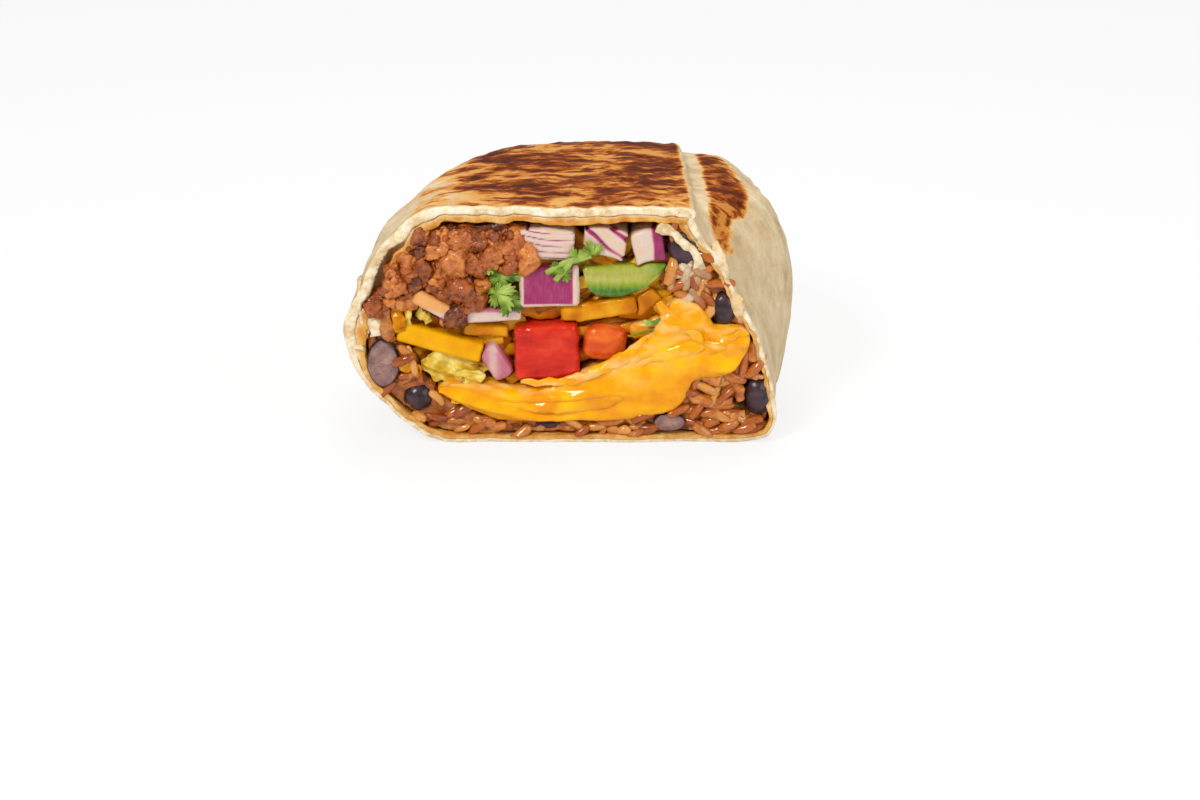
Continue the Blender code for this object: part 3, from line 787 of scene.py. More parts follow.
def wrap_outside(depths):
    """Rings of points of the outer surface, with its lumps, wrinkles, seam and end pleats."""
    rings, normals = [], []
    for y in depths:
        section, _ = wrap_section(y)
        facing = outward_normals(section)
        normals.append(np.column_stack([facing[:, 0], np.zeros(AROUND), facing[:, 1]]))
        rings.append(np.column_stack([section[:, 0], np.full(AROUND, y), section[:, 1]]))
    points, out = np.concatenate(rings), np.concatenate(normals)
    x, y, z = points.T
    body = step(z, 0.3, 5.0) * step(LENGTH - y, 0.1, 5.0)
    lumps = 0.55 * fractal(points, 17.0, 2, 11) - 0.30
    flank = step(x, 27, 36) + step(-x, 28, 38)
    folds = 0.9 * fractal(points * [0.30, 1.0, 0.22], 5.5, 3, 22) * flank - 0.1
    wrinkles = folds + 0.26 * fractal(points * [1.0, 0.8, 0.32], 2.8, 3, 21) - 0.10
    creases = -0.5 * np.exp(-(noise(points * [0.6, 1.0, 0.25], 7.0, 31) / 0.10) ** 2) * flank * step(y, 3, 12)
    griddle = step(z, 46, 50)
    lumps = lumps * (1 - 0.75 * griddle)
    edge = seam_x(y) - x
    top = step(z, 40, 46) * step(SEAM_BACK_DEPTH + 6 - y, 0, 12)
    lip = 0.45 * np.exp(-(((edge - 1.2) / 1.3) ** 2)) * top
    drop = -SEAM_STEP * step(-edge, -0.25, 0.35) * step(edge + 9.0, 0, 8.0) * top
    around = np.arctan2(z - TAPER_MIDDLE_Z, (x - TAPER_MIDDLE_X) * 0.7)
    closing = step(y, 58, 76)
    pleats = -1.1 * closing * np.abs(np.sin(2.5 * around + 0.8 + 0.06 * (y - 60))) ** 0.5 + 0.6 * closing
    push = (lumps + wrinkles + creases + lip + drop + pleats * step(z, 0.3, 8)) * body
    push = np.minimum(push, 1.0)
    points = points + out * push[:, None]
    points[:, 2] = np.maximum(points[:, 2], 0.0)
    return points.reshape(len(depths), AROUND, 3)


def wall_split(angle_share):
    """(half width as a share of the wall, depth) of the gap between the two layers at the cut."""
    lens = np.maximum(0, np.sin(math.pi * np.clip((angle_share - 0.868) / 0.095, 0, 1))) ** 0.6
    waver = 0.5 + 0.5 * np.sin(angle_share * 171.0) * np.sin(angle_share * 67.0 + 1.0)
    return 0.004 + 0.012 * waver**3 + 0.25 * lens, 0.12 + 0.6 * waver**3 + 4.5 * lens


def rim_rounds(share):
    """Rounds of the cut rim from the outside in: share across the wall and depth behind the cut."""
    half, split = wall_split(share)
    flat = np.zeros(AROUND)
    rounds = [(flat + 0.03, flat - 0.06)]
    for across in (0.09, 0.18, 0.28, 0.38):
        rounds.append((flat + across, flat - 0.28))
    rounds.append((0.5 - half - 0.035, flat - 0.26))
    rounds.append((0.5 - half, flat + 0.1))
    rounds.append((0.5 - half * 0.9, split * 0.45))
    rounds.append((0.5 - half * 0.35, split))
    rounds.append((0.5 + half * 0.35, split))
    rounds.append((0.5 + half * 0.9, split * 0.45))
    rounds.append((0.5 + half, flat + 0.1))
    for across in (0.035, 0.12, 0.22, 0.32, 0.42, 0.47):
        inward = 0.5 + half + across * (0.5 - half) / 0.5
        rounds.append((np.maximum(inward, 0), flat - 0.2 + 0.3 * (across > 0.45)))
    return rounds


def make_tortilla(look):
    """The wrap: its outside, the cut rim with the gap between two layers, and the hollow behind it."""
    depths = np.concatenate([
        [0.0, 0.25, 0.6, 1.1],
        np.arange(1.8, 70.0, 0.72),
        np.arange(70.3, 78.6, 0.45),
        [78.75, 78.9, 78.97],
    ])
    outside = wrap_outside(depths)
    front, wall = outside[0], wrap_section(0)[1]
    section = front[:, [0, 2]]
    inward = -outward_normals(section)
    inward = np.column_stack([inward[:, 0], np.zeros(AROUND), inward[:, 1]])
    share = np.arange(AROUND) / AROUND
    torn = step(share, 0.20, 0.26) * step(0.48 - share, 0, 0.08)
    wall = wall * (1 + 0.22 * fractal(front, 5.0, 2, 45) + 0.35 * torn * fractal(front, 3.0, 2, 46))
    waver = 0.45 * fractal(front, 6.0, 3, 41)
    rounds = rim_rounds(share)
    rim_rings = []
    for across, depth in rounds:
        ring = front + inward * (across * wall)[:, None]
        rough = (0.26 + 0.25 * torn) * fractal(ring, 1.7, 3, 43)
        sway = (0.18 + 0.35 * torn) * fractal(ring, 2.4, 3, 44) * (4 * across * (1 - across))
        ring = ring + AWAY * (depth + waver + rough - 0.1)[:, None] + inward * sway[:, None]
        rim_rings.append(ring)
    outside[0] = outside[0] + AWAY * (waver + 0.1)[:, None]
    outside[1] = outside[1] + AWAY * (0.7 * waver + 0.1)[:, None]
    outside[2] = outside[2] + AWAY * (0.4 * waver)[:, None]
    inner_rings = []
    for depth in (0.8, 2.0, 4.0, 7.0, 11.0, 16.0, 24.0, 36.0, 48.0, 60.0, CAVITY_END):
        ring, ring_wall = wrap_section(depth)
        ring = ring - outward_normals(ring) * ring_wall[:, None] * (1 + 0.8 * (depth / LENGTH) ** 2)
        inner_rings.append(np.column_stack([ring[:, 0], np.full(AROUND, depth), ring[:, 1]]))
    rings = [r for r in outside[::-1]] + rim_rings + inner_rings
    points = np.concatenate(rings)
    count = len(rings)
    faces = [face[::-1] for face in grid_faces(count, AROUND)]
    points = np.vstack([points, rings[0].mean(0), rings[-1].mean(0)])
    tip, bottom = count * AROUND, count * AROUND + 1
    for k in range(AROUND):
        n = (k + 1) % AROUND
        faces.append((tip, k, n))
        last = (count - 1) * AROUND
        faces.append((bottom, last + n, last + k))
    obj = new_piece("tortilla", points, faces, look)
    normals = read_normals(obj.data)
    toast = np.zeros(len(points))
    outer = np.zeros(len(points), bool)
    outer[: len(depths) * AROUND] = True
    outer[tip] = True
    toast[outer] = toast_mask(points[outer], normals[outer])
    rim = np.ones(len(points))
    rim[outer] = step(1.1 - points[outer][:, 1], 0, 0.9)
    inner = np.ones(len(points))
    inner[outer] = 0.0
    start = len(depths) * AROUND
    for index, (across, _) in enumerate(rounds):
        inner[start + index * AROUND: start + (index + 1) * AROUND] = step(across, 0.3, 0.75)
    paint(obj, "toast", toast)
    paint(obj, "rim", rim)
    paint(obj, "inner", inner)
    return belongs(obj, "tortilla", "tortilla_wrap")


# ---------------------------------------------------------------- the layers


def front_samples(node, count, rng):
    """Random points on the parts of a CAD node that face the cut."""
    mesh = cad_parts[node].data
    points = read_points(mesh)
    mesh.calc_loop_triangles()
    corners = np.array([points[list(t.vertices)] for t in mesh.loop_triangles])
    cross = np.cross(corners[:, 1] - corners[:, 0], corners[:, 2] - corners[:, 0])
    area = np.linalg.norm(cross, axis=1)
    facing = -cross[:, 1] / np.maximum(area, 1e-9)
    depth = corners[:, :, 1].mean(1)
    weight = np.where((facing > 0.6) & (depth < 6), area, 0.0)
    chosen = rng.choice(len(corners), size=count, p=weight / weight.sum())
    a, b = rng.random((2, count, 1))
    flip = (a + b) > 1
    a, b = np.where(flip, 1 - a, a), np.where(flip, 1 - b, b)
    tri = corners[chosen]
    return tri[:, 0] + a * (tri[:, 1] - tri[:, 0]) + b * (tri[:, 2] - tri[:, 0])


def thinned(points, apart):
    """Points dropped where they come closer than `apart` to one kept before them."""
    kept = []
    for p in points:
        if all(np.sum((p - q) ** 2) > apart * apart for q in kept):
            kept.append(p)
    return np.array(kept)


def near(spot, middle, size, margin):
    """Whether a point lies in front of a piece, or within a margin of it."""
    across = np.abs(spot - middle)[[0, 2]]
    return bool(np.all(across < size[[0, 2]] / 2 + margin))


def make_rice(looks):
    def mashed(points, normals):
        front = step(3.0 - points[:, 1], 0, 3)
        relief = 0.8 * fractal(points, 3.4, 4, 51) - 0.4
        return points + normals * (relief * front)[:, None] + AWAY * (0.5 * front)[:, None]

    core = refined("rice_mash", "rice_bed", 0.55, 2, looks["mash"], mashed, depth=9.0)
    paint(core, "tint", 0.5 + 0.5 * fractal(read_points(core.data), 4.0, 2, 52))
    belongs(core, "rice")
    rng = np.random.default_rng(7)
    spots = thinned(front_samples("rice_bed", 1500, rng), 1.55)
    beans = [bean_place(node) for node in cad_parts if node.startswith("bean_")]
    holes = rng.uniform([34.0, 2.5, 5.5], [39.5, 6.0, 14.5], (26, 3))
    batch = Batch()
    for spot in np.vstack([spots, holes]):
        mashed_here = 0.5 * step(-spot[0], 14, 24)
        if rng.random() < mashed_here or any(near(spot, middle, size, 0.4) for middle, size in beans):
            continue
        lie = rng.normal(0, 0.25)
        angle = rng.normal(0.1, 0.55) if spot[2] < 8 else rng.uniform(-1.5, 1.5)
        direction = np.array([math.cos(angle), lie, math.sin(angle)])
        depth = rng.uniform(-0.1, 1.5)
        place_at = spot + np.array([0, depth, 0])
        length = rng.uniform(3.8, 7.6) * (0.8 if spot[2] < 6 else 1.0)
        width = rng.uniform(1.8, 2.7)
        points, faces = grain(place_at, direction, length, width, rng.normal(0, 0.5), rng, 10, 13)
        points = points + 0.18 * np.stack([fractal(points, 2.4, 2, 53 + k) for k in range(3)], axis=1)
        points[:, 2] = np.maximum(points[:, 2], 1.5)
        batch.add(points, faces, 0.15 + 0.8 * rng.beta(2, 2))
    belongs(batch.build("rice_grains", looks["rice"]), "rice", "rice_bed")
    pale = Batch()
    for _ in range(22):
        middle = np.array([26.4, 0.8, 36.6]) + rng.normal(0, 1, 3) * [1.7, 0.4, 2.0]
        angle = rng.uniform(0, math.pi)
        direction = np.array([math.cos(angle), rng.normal(0, 0.3), math.sin(angle)])
        length, width = rng.uniform(3.4, 5.2), rng.uniform(2.0, 2.7)
        points, faces = grain(middle, direction, length, width, rng.normal(0, 0.2), rng)
        pale.add(points, faces, rng.beta(2, 2))
    belongs(pale.build("pale_rice_grains", looks["pale_rice"]), "rice")


MEAT_TOP = 47.6          # where the crumbs meet the underside of the wrap


def make_meat(looks):
    def crumbly(points, normals):
        front = step(5.0 - points[:, 1], 0, 4)
        relief = 0.9 * fractal(points, 3.0, 4, 61) - 0.5
        return points + normals * (relief * front)[:, None] + AWAY * front[:, None]

    core = refined("meat_core", "crumbled_meat", 0.5, 1, looks["meat"], crumbly, depth=9.0)
    # The core, seen between and behind the crumbs, gets a darker tint: painted shade in the crevices between
    # them.
    paint(core, "tint", 0.15 + 0.3 * fractal(read_points(core.data), 3.0, 2, 62))
    belongs(core, "meat")
    rng = np.random.default_rng(19)
    spots = thinned(front_samples("crumbled_meat", 900, rng), 3.3)
    batch = Batch()
    onion, onion_size = middle_of("onion_in_meat")
    for index, spot in enumerate(spots):
        if near(spot, onion, onion_size, -0.6):
            continue
        size = rng.uniform(2.2, 3.9)
        radii = size * rng.uniform(0.8, 1.2, 3)
        middle = spot + np.array([0, rng.uniform(1.4, 2.8), 0])
        middle[2] = min(middle[2], MEAT_TOP - 0.8 * size)
        points, faces = chunk(middle, radii, random_turn(rng), 4, rng, 100 + index)
        batch.add(points, faces, np.clip(rng.normal(0.55, 0.2) + 0.2 * fractal(points, 1.6, 2, index), 0, 1))
    small = thinned(front_samples("crumbled_meat", 1200, rng), 1.15)
    for index, spot in enumerate(small[:260]):
        if near(spot, onion, onion_size, 0.2):
            continue
        size = rng.uniform(0.5, 1.7) * (0.8 if spot[0] > -26 else 1.0)
        middle = spot + np.array([0, rng.uniform(0.2, 1.6), 0])
        middle[2] = min(middle[2], MEAT_TOP - size)
        points, faces = chunk(middle, size * rng.uniform(0.7, 1.3, 3), random_turn(rng), 3, rng, 500 + index)
        batch.add(points, faces, rng.uniform(0.2, 0.9))
    crumbs = batch.build("meat_crumbs", looks["meat"])
    return belongs(crumbs, "meat", "crumbled_meat")


# Where melted cheese ran and set in folds over the band: path in the plan, widths along it, how pale it is,
# that paleness being partly painted highlight.
CHEESE_FOLDS = [
    (
        [(-9.0, -0.4, 14.0), (0.0, -0.9, 14.2), (8.0, -1.0, 17.0), (14.0, -0.9, 20.6), (19.0, -0.4, 25.0)],
        [1.0, 2.4, 3.0, 1.2], 0.9,
    ),
    (
        [(-24.0, -0.2, 9.6), (-10.0, -0.8, 8.4), (6.0, -1.0, 9.6), (16.0, -0.9, 14.0), (24.0, -0.4, 17.0)],
        [1.0, 3.4, 4.2, 1.4], 0.1,
    ),
    (
        [(12.0, -0.2, 16.0), (20.0, -0.8, 20.0), (27.0, -0.9, 21.5), (36.6, -0.4, 24.6)],
        [1.2, 3.0, 3.6, 1.6], 0.5,
    ),
    (
        [(20.0, -0.2, 31.6), (23.0, -0.8, 27.6), (27.5, -0.8, 24.6), (30.0, -0.2, 20.6)],
        [1.6, 3.0, 3.0, 1.4], 0.35,
    ),
    (
        [(27.0, -0.6, 20.6), (33.0, -1.2, 22.6), (38.4, -0.6, 25.4)],
        [2.2, 3.6, 3.0, 1.0], 1.0,
    ),
]


def make_cheese(looks):
    def height_share(points):
        """How high in the band each point lies: 0 at its lower edge, 1 at its upper one."""
        front = points[points[:, 1] < 3]
        edges = np.linspace(front[:, 0].min(), front[:, 0].max(), 30)
        column = np.clip(np.digitize(front[:, 0], edges) - 1, 0, 28)
        low = np.array([front[column == k, 2].min() for k in range(29)])
        high = np.array([front[column == k, 2].max() for k in range(29)])
        middles = (edges[1:] + edges[:-1]) / 2
        low, high = (np.interp(points[:, 0], middles, v) for v in (low, high))
        return np.clip((points[:, 2] - low) / np.maximum(high - low, 1.0), 0, 1)

    def melted(points, normals):
        front = step(4.0 - points[:, 1], 0, 4)
        share = height_share(points)
        swell = 1.5 * np.sqrt(np.maximum(1 - (2 * share - 1) ** 2, 0)) - 0.9
        flow = points * [0.42, 1.0, 1.0]
        waver = share + 0.10 * noise(flow, 5.0, 70)
        tongues = 0.55 * np.sin(2 * math.pi * 2.1 * waver + 0.16 * points[:, 0])
        tongues = tongues * step(noise(flow, 9.0, 73), -0.5, 0.3)
        folds = 1.0 * fractal(flow, 6.0, 2, 71) + 0.35 * fractal(flow, 2.2, 2, 72)
        push = (folds * 0.8 - 0.1) * front
        return points + normals * push[:, None] - AWAY * ((swell + tongues) * front)[:, None]

    look = looks["melted_cheese"]
    cheese = refined("melted_cheese_band", "melted_cheese", 0.45, 8, look, melted, depth=9.0)
    folds = Batch()
    for index, (path, widths, paleness) in enumerate(CHEESE_FOLDS):
        points, faces = strand(
            path, widths, [0.6, 2.0, 2.2, 0.6], -AWAY, count=90, sides=24, rough=0.45, seed=120 + index
        )
        folds.add(points, faces, paleness)
    laid = folds.build("cheese_folds", look)
    paint(laid, "pale", np.concatenate(folds.tints))
    belongs(laid, "melted_cheese")
    points = read_points(cheese.data)
    share = height_share(points)
    # Paler along the band's upper edge and over its lower right: partly the cheese's own colour, partly
    # painted highlight.
    edge = step(share, 0.72, 0.95)
    right = 0.5 * step(points[:, 0], 8, 22) * step(share, 0.3, 0.6)
    paint(cheese, "pale", np.clip(edge + right, 0, 1))
    return belongs(cheese, "melted_cheese", "melted_cheese")


# ---------------------------------------------------------------- the pieces at the cut


def soft_dice(seed, swell, size=5.0):
    def shape(points, normals):
        return points + normals * (swell * fractal(points, size, 3, seed))[:, None]
    return shape


def make_dice(looks):
    plan = {
        "tomato_dice_left": ("tomato", 0.3, 3, 0.35),
        "tomato_dice_right": ("pale_tomato", 0.3, 6, 0.4),
        "cheese_strip_left": ("cheddar", 0.35, 2, 0.15),
        "cheese_strip_middle": ("shreds", 0.35, 4, 0.35),
        "cheese_strip_right": ("shreds", 0.35, 4, 0.35),
        "cheese_strip_inner": ("shreds", 0.3, 2, 0.15),
        "cheese_melted_pale": ("melted_cheese", 0.3, 5, 0.8),
    }
    slots = {
        "tomato": "tomato",
        "pale_tomato": "tomato",
        "cheddar": "cheddar",
        "shreds": "cheddar",
        "melted_cheese": "melted_cheese",
    }
    for index, (node, (look, voxel, rounds, swell)) in enumerate(plan.items()):
        piece = refined(node + "_food", node, voxel, rounds, looks[look], soft_dice(80 + index, swell))
        paint(piece, "tint", 0.5 + 0.4 * fractal(read_points(piece.data), 4.0, 2, index))
        # Full paleness, read only by the melted cheese look, whose paler streaks are partly painted
        # highlight.
        paint(piece, "pale", np.full(len(piece.data.vertices), 1.0))
        belongs(piece, slots[look], node)


def make_onions(looks):
    """Onion chunks: curved layers with purple edges between them."""
    lines = {
        "onion_stack": lambda u, w: (w - 0.5 * u * u + 0.25 * u, 5.5, 0.5),
        "onion_middle": lambda u, w: (0.75 * u + 0.7 * w, 2.4, 0.75),
        "onion_right": lambda u, w: (u + 0.10 * w, 1.0, 1.1),
        "onion_square": lambda u, w: (0 * u, 1.0, 1.0),
        "onion_slice": lambda u, w: (w, 1.0, 1.0),
        "onion_wedge": lambda u, w: (u, 1.0, 1.0),
        "onion_in_meat": lambda u, w: (w, 1.0, 1.0),
    }
    for index, (node, rule) in enumerate(lines.items()):
        middle, size = middle_of(node)
        piece = refined(node + "_food", node, 0.3, 2, looks["onion"])
        points, normals = read_points(piece.data), read_normals(piece.data)
        u, w = (points[:, 0] - middle[0]) / size[0], (points[:, 2] - middle[2]) / size[2]
        along, repeats, strength = rule(u, w)
        band = onion_band(node, u, w, along, repeats, strength, points)
        groove = -0.45 * step(band, 0.35, 0.7) * (node in ("onion_stack", "onion_middle"))
        relief = groove + 0.12 * fractal(points, 3.0, 2, 90 + index)
        write_points(piece.data, points + normals * relief[:, None])
        paint(piece, "band", band)
        belongs(piece, "purple_onion" if node == "onion_square" else "onion", node)


def onion_band(node, u, w, along, repeats, strength, points):
    """How purple each point of an onion chunk is, 0 to 1."""
    if node == "onion_square":
        border = np.minimum(np.minimum(u + 0.5, 0.5 - u), (w + 0.5) * 0.9)
        return 0.2 + 0.62 * step(border, 0.07, 0.14)
    if node == "onion_right":
        return 0.24 + 0.63 * step(along, 0.06, 0.22) + 0.1 * noise(points, 2.0, 3)
    if node == "onion_slice":
        return 0.25 + 0.33 * step(w, 0.0, 0.3)
    # The onion wedge: mauve, with a paler stripe down its middle that is a painted highlight.
    if node == "onion_wedge":
        return 0.58 - 0.16 * np.exp(-(((u + 0.1) / 0.16) ** 2)) + 0.10 * step(-u - 0.5 * w, 0.3, 0.5)
    if node == "onion_in_meat":
        return 0.02 + 0.5 * step(-w - 0.3 * u, 0.1, 0.35)
    wave = np.abs(np.mod(along * repeats + 0.5 + 0.10 * noise(points, 4.0, 6), 1.0) - 0.5)
    fading = 0.75 + 0.4 * noise(points, 5.0, 8)
    return 0.2 + strength * fading * np.exp(-((wave / 0.15) ** 2)) + 0.12 * noise(points, 2.5, 4)


def make_pepper(looks):
    middle, size = middle_of("pepper_slice")
    piece = refined("pepper_slice_food", "pepper_slice", 0.3, 3, looks["pepper"])
    points, normals = read_points(piece.data), read_normals(piece.data)
    w = (points[:, 2] - middle[2]) / size[2]
    dish = 0.9 * np.exp(-(((w + 0.02) / 0.22) ** 2)) * step(-normals[:, 1], 0.4, 0.9)
    points = points + AWAY * dish[:, None] + normals * (0.2 * fractal(points, 3.0, 2, 95))[:, None]
    write_points(piece.data, points)
    u = (points[:, 0] - middle[0]) / size[0]
    skin = 0.75 * step(-w, -0.05, 0.38) + 0.45 * step(u, 0.15, 0.5)
    paint(piece, "band", 0.35 + skin - 0.3 * np.exp(-((w - 0.1) / 0.15) ** 2))
    belongs(piece, "pepper", "pepper_slice")


CUT_BEANS = ("bean_left", "bean_base_right")
# Beans seen a little away from their places in the part: shift in X and Z, scale in width and height.
BEAN_SHIFTS = {
    "bean_low_right": (2.6, 0.0, 1.0, 1.0),
    "bean_mid_right": (1.0, 0.3, 1.0, 1.1),
    "bean_top_right": (0.9, 0.5, 1.15, 1.1),
    "bean_left": (0.3, 0.0, 1.14, 1.04),
}


def bean_place(node):
    """(middle, size) of a bean as it is seen."""
    middle, size = middle_of(node)
    across, up, wider, taller = BEAN_SHIFTS.get(node, (0.0, 0.0, 1.0, 1.0))
    return middle + np.array([across, 0, up]), size * [wider, 1.0, taller]


def make_beans(looks):
    """Black beans, plump ovals that fill their places; some are sliced and show their flesh."""
    for index, node in enumerate(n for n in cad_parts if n.startswith("bean_")):
        middle, size = bean_place(node)
        points, faces = BALLS[4]
        ball = points.copy()
        flesh = np.zeros(len(ball))
        if node in CUT_BEANS:
            flesh = step(-ball[:, 1], 0.38, 0.46) * (1 - 0.4 * (ball[:, 0] ** 2 + ball[:, 2] ** 2))
            ball[:, 1] = np.maximum(ball[:, 1], -0.42 + 0.12 * (ball[:, 0] ** 2 + ball[:, 2] ** 2))
        radii = np.array([size[0] * 0.53, min(size[1], 7.0) * 0.5, size[2] * 0.53])
        front = (middle - size / 2)[1] - 0.9
        shaped = ball * radii
        shaped = shaped * (1 + 0.05 * fractal(shaped, 3.0, 3, 30 + index))[:, None]
        shaped = shaped + np.array([middle[0], front - shaped[:, 1].min(), middle[2]])
        piece = new_piece(node + "_food", shaped, faces, looks["bean"])
        paint(piece, "flesh", flesh)
        belongs(piece, "bean", node)


def crumpled(middle, width, height, thickness, relief, seed, columns=70, rows=36):
    """A crumpled leaf facing the cut with a ragged outline: points and faces of a closed thin sheet."""
    u, w = np.meshgrid(np.linspace(-0.5, 0.5, columns), np.linspace(-0.5, 0.5, rows), indexing="ij")
    flat = np.column_stack([u.ravel() * width, np.zeros(u.size), w.ravel() * height])
    rounding = (1 - np.abs(u.ravel() * 2) ** 3 * 0.75) * (1 + 0.40 * fractal(flat * [1, 1, 0], 2.4, 2, seed))
    flat[:, 2] *= rounding
    flat[:, 0] *= 1 + 0.14 * noise(flat * [0, 1, 1], 1.8, seed + 1)
    slanted = flat[:, 2] + 0.45 * flat[:, 0] + 1.6 * noise(flat, 3.4, seed + 4)
    depth = relief * (1.4 * fractal(flat, 3.6, 2, seed + 2) + 0.45 * fractal(flat, 1.4, 2, seed + 3))
    depth = depth + relief * 0.8 * np.abs(np.sin(slanted * 1.3))
    sheets = [flat + AWAY * (depth + side * thickness / 2)[:, None] + np.asarray(middle) for side in (-1, 1)]
    count = columns * rows
    faces = []
    for i in range(columns - 1):
        for j in range(rows - 1):
            a, b, c, d = i * rows + j, (i + 1) * rows + j, (i + 1) * rows + j + 1, i * rows + j + 1
            faces.append((a, b, c, d))
            faces.append((d + count, c + count, b + count, a + count))
    edge = [i * rows for i in range(columns)] + [(columns - 1) * rows + j for j in range(1, rows)]
    edge += [i * rows + rows - 1 for i in reversed(range(columns - 1))] + list(reversed(range(1, rows - 1)))
    for a, b in zip(edge, edge[1:] + edge[:1], strict=True):
        faces.append((b, a, a + count, b + count))
    return np.vstack(sheets), faces


def make_lettuce(looks):
    """A pale crumpled strip of lettuce under the left cheese, with a second one curling over it."""
    middle, size = middle_of("lettuce_piece")
    batch = Batch()
    front = (middle - size / 2)[1]
    spot = (middle[0] + 0.2, front + 1.0, middle[2] - 0.2)
    sheet = crumpled(spot, size[0] * 1.15, size[2] * 0.86, 0.6, 1.0, 301)
    batch.add(*sheet, np.clip(0.6 + 0.5 * fractal(sheet[0], 2.0, 2, 302), 0, 1))
    spot = (middle[0] + 3.0, front + 0.2, middle[2] - 2.4)
    sheet = crumpled(spot, size[0] * 0.55, size[2] * 0.34, 0.6, 0.6, 311)
    batch.add(*sheet, np.clip(0.75 + 0.4 * fractal(sheet[0], 2.0, 2, 312), 0, 1))
    belongs(batch.build("lettuce_strip", looks["lettuce"]), "lettuce", "lettuce_piece")


def make_filling(looks):
    """What lies between and behind the pieces: shreds of cheese, mostly, over the core."""
    rough = soft_dice(110, 0.8, 4.0)
    core = refined("filling_core_food", "filling_core", 0.9, 2, looks["shreds"], rough, depth=20.0)
    paint(core, "tint", 0.25 + 0.3 * fractal(read_points(core.data), 5.0, 2, 111))
    belongs(core, "filling", "filling_core")
    rng = np.random.default_rng(23)
    batch = Batch()
    for index in range(130):
        x = rng.uniform(-32, 22)
        low = np.interp(x, [-32, -12, 5, 16, 22], [20, 15, 17, 22, 27])
        high = np.interp(x, [-32, -18, -10, 0, 22], [27, 30, 38, 44, 42])
        middle = np.array([x, rng.uniform(3.4, 9.0), rng.uniform(low, high)])
        lean = rng.normal(0.15, 0.45)
        half = rng.uniform(3.5, 7.5) * np.array([math.cos(lean), rng.normal(0, 0.25), math.sin(lean)])
        sag = np.array([0, 0, rng.normal(-0.5, 0.8)])
        points, faces = strand(
            [middle - half, middle + sag, middle + half], [2.0, 3.6, 2.4], [1.4, 2.2, 1.4], -AWAY,
            count=20, sides=12, boxy=0.8, seed=index, rough=0.35,
        )
        points[:, 1] = np.maximum(points[:, 1], 2.4)
        batch.add(points, faces, rng.uniform(0.1, 0.95))
    belongs(batch.build("cheese_shreds", looks["shreds"]), "cheddar")


# Odd bits between the larger pieces: its material, path in the plan, widths along it, thickness.
MORSELS = [
    ("rice", [(24.4, 0.6, 12.6), (29.4, 0.0, 9.6), (35.4, 0.2, 9.2)], [2.4, 2.4, 2.2], 2.2),
    ("rice", [(30.4, 0.4, 6.6), (34.4, -0.2, 5.6), (38.6, 0.0, 6.2)], [1.8, 2.3, 2.0], 2.0),
    ("rice", [(35.6, 0.8, 15.6), (36.6, 0.0, 12.4), (37.6, 0.4, 9.8)], [1.8, 2.2, 2.2], 2.0),
    ("rice", [(28.0, 1.0, 16.2), (31.6, 0.4, 14.4), (35.0, 1.0, 12.6)], [1.8, 3.2, 2.2], 2.4),
    ("tortilla", [(-40.6, 0.6, 30.0), (-39.8, 0.0, 27.0), (-39.2, 0.4, 24.0)], [2.0, 2.8, 2.2], 1.2),
    ("tortilla", [(-44.0, 0.4, 23.4), (-43.0, 0.0, 21.0), (-43.2, 0.6, 18.6)], [2.0, 3.0, 1.6], 1.0),
    ("mash", [(-38.0, 1.0, 31.0), (-37.2, 0.4, 27.0), (-36.8, 0.8, 22.4)], [2.2, 3.0, 3.4], 2.4),
    ("mash", [(-39.6, 2.6, 30.0), (-38.0, 2.6, 24.0), (-36.0, 2.6, 19.0)], [5.0, 6.0, 6.0], 2.4),
    ("shreds", [(-35.6, 1.0, 31.4), (-34.6, 0.4, 28.4), (-34.2, 0.8, 25.0)], [2.2, 3.0, 2.6], 1.6),
    ("shreds", [(-36.2, 0.6, 19.4), (-33.0, 0.2, 17.0), (-30.6, 0.6, 15.6)], [2.2, 2.8, 2.0], 1.8),
    ("lettuce", [(-32.6, 0.6, 31.8), (-32.2, 0.2, 29.0), (-32.4, 0.6, 26.0)], [0.9, 1.2, 0.9], 0.7),
    ("lettuce", [(-30.6, 1.2, 29.6), (-29.2, 0.8, 28.4), (-28.4, 1.2, 26.4)], [2.2, 3.0, 2.4], 1.2),
    ("herb", [(17.0, 0.4, 26.6), (19.4, 0.0, 27.6), (21.4, 0.4, 28.2)], [0.7, 1.3, 0.6], 0.7),
    ("herb", [(13.6, 0.6, 23.6), (17.6, 0.1, 25.2), (21.4, 0.4, 26.6)], [0.3, 0.5, 0.3], 0.4),
]


def make_morsels(looks):
    batches = {}
    for index, (look, path, widths, thickness) in enumerate(MORSELS):
        thicknesses = [thickness * 0.6, thickness, thickness * 0.6]
        shape = strand(path, widths, thicknesses, -AWAY, 30, 16, 0.8, 200 + index, 0.6)
        tint = np.clip(0.6 + 0.4 * fractal(shape[0], 1.8, 2, 220 + index), 0, 1)
        batches.setdefault(look, Batch()).add(*shape, tint)
    slots = {
        "rice": "rice",
        "tortilla": "tortilla",
        "mash": "filling",
        "shreds": "cheddar",
        "lettuce": "lettuce",
        "herb": "pepper",
    }
    for look, batch in batches.items():
        piece = batch.build(look + "_bits", looks[look])
        if look == "tortilla":
            paint(piece, "rim", np.ones(batch.count))
            paint(piece, "inner", np.full(batch.count, 0.1))
            paint(piece, "toast", np.zeros(batch.count))
        belongs(piece, slots[look])


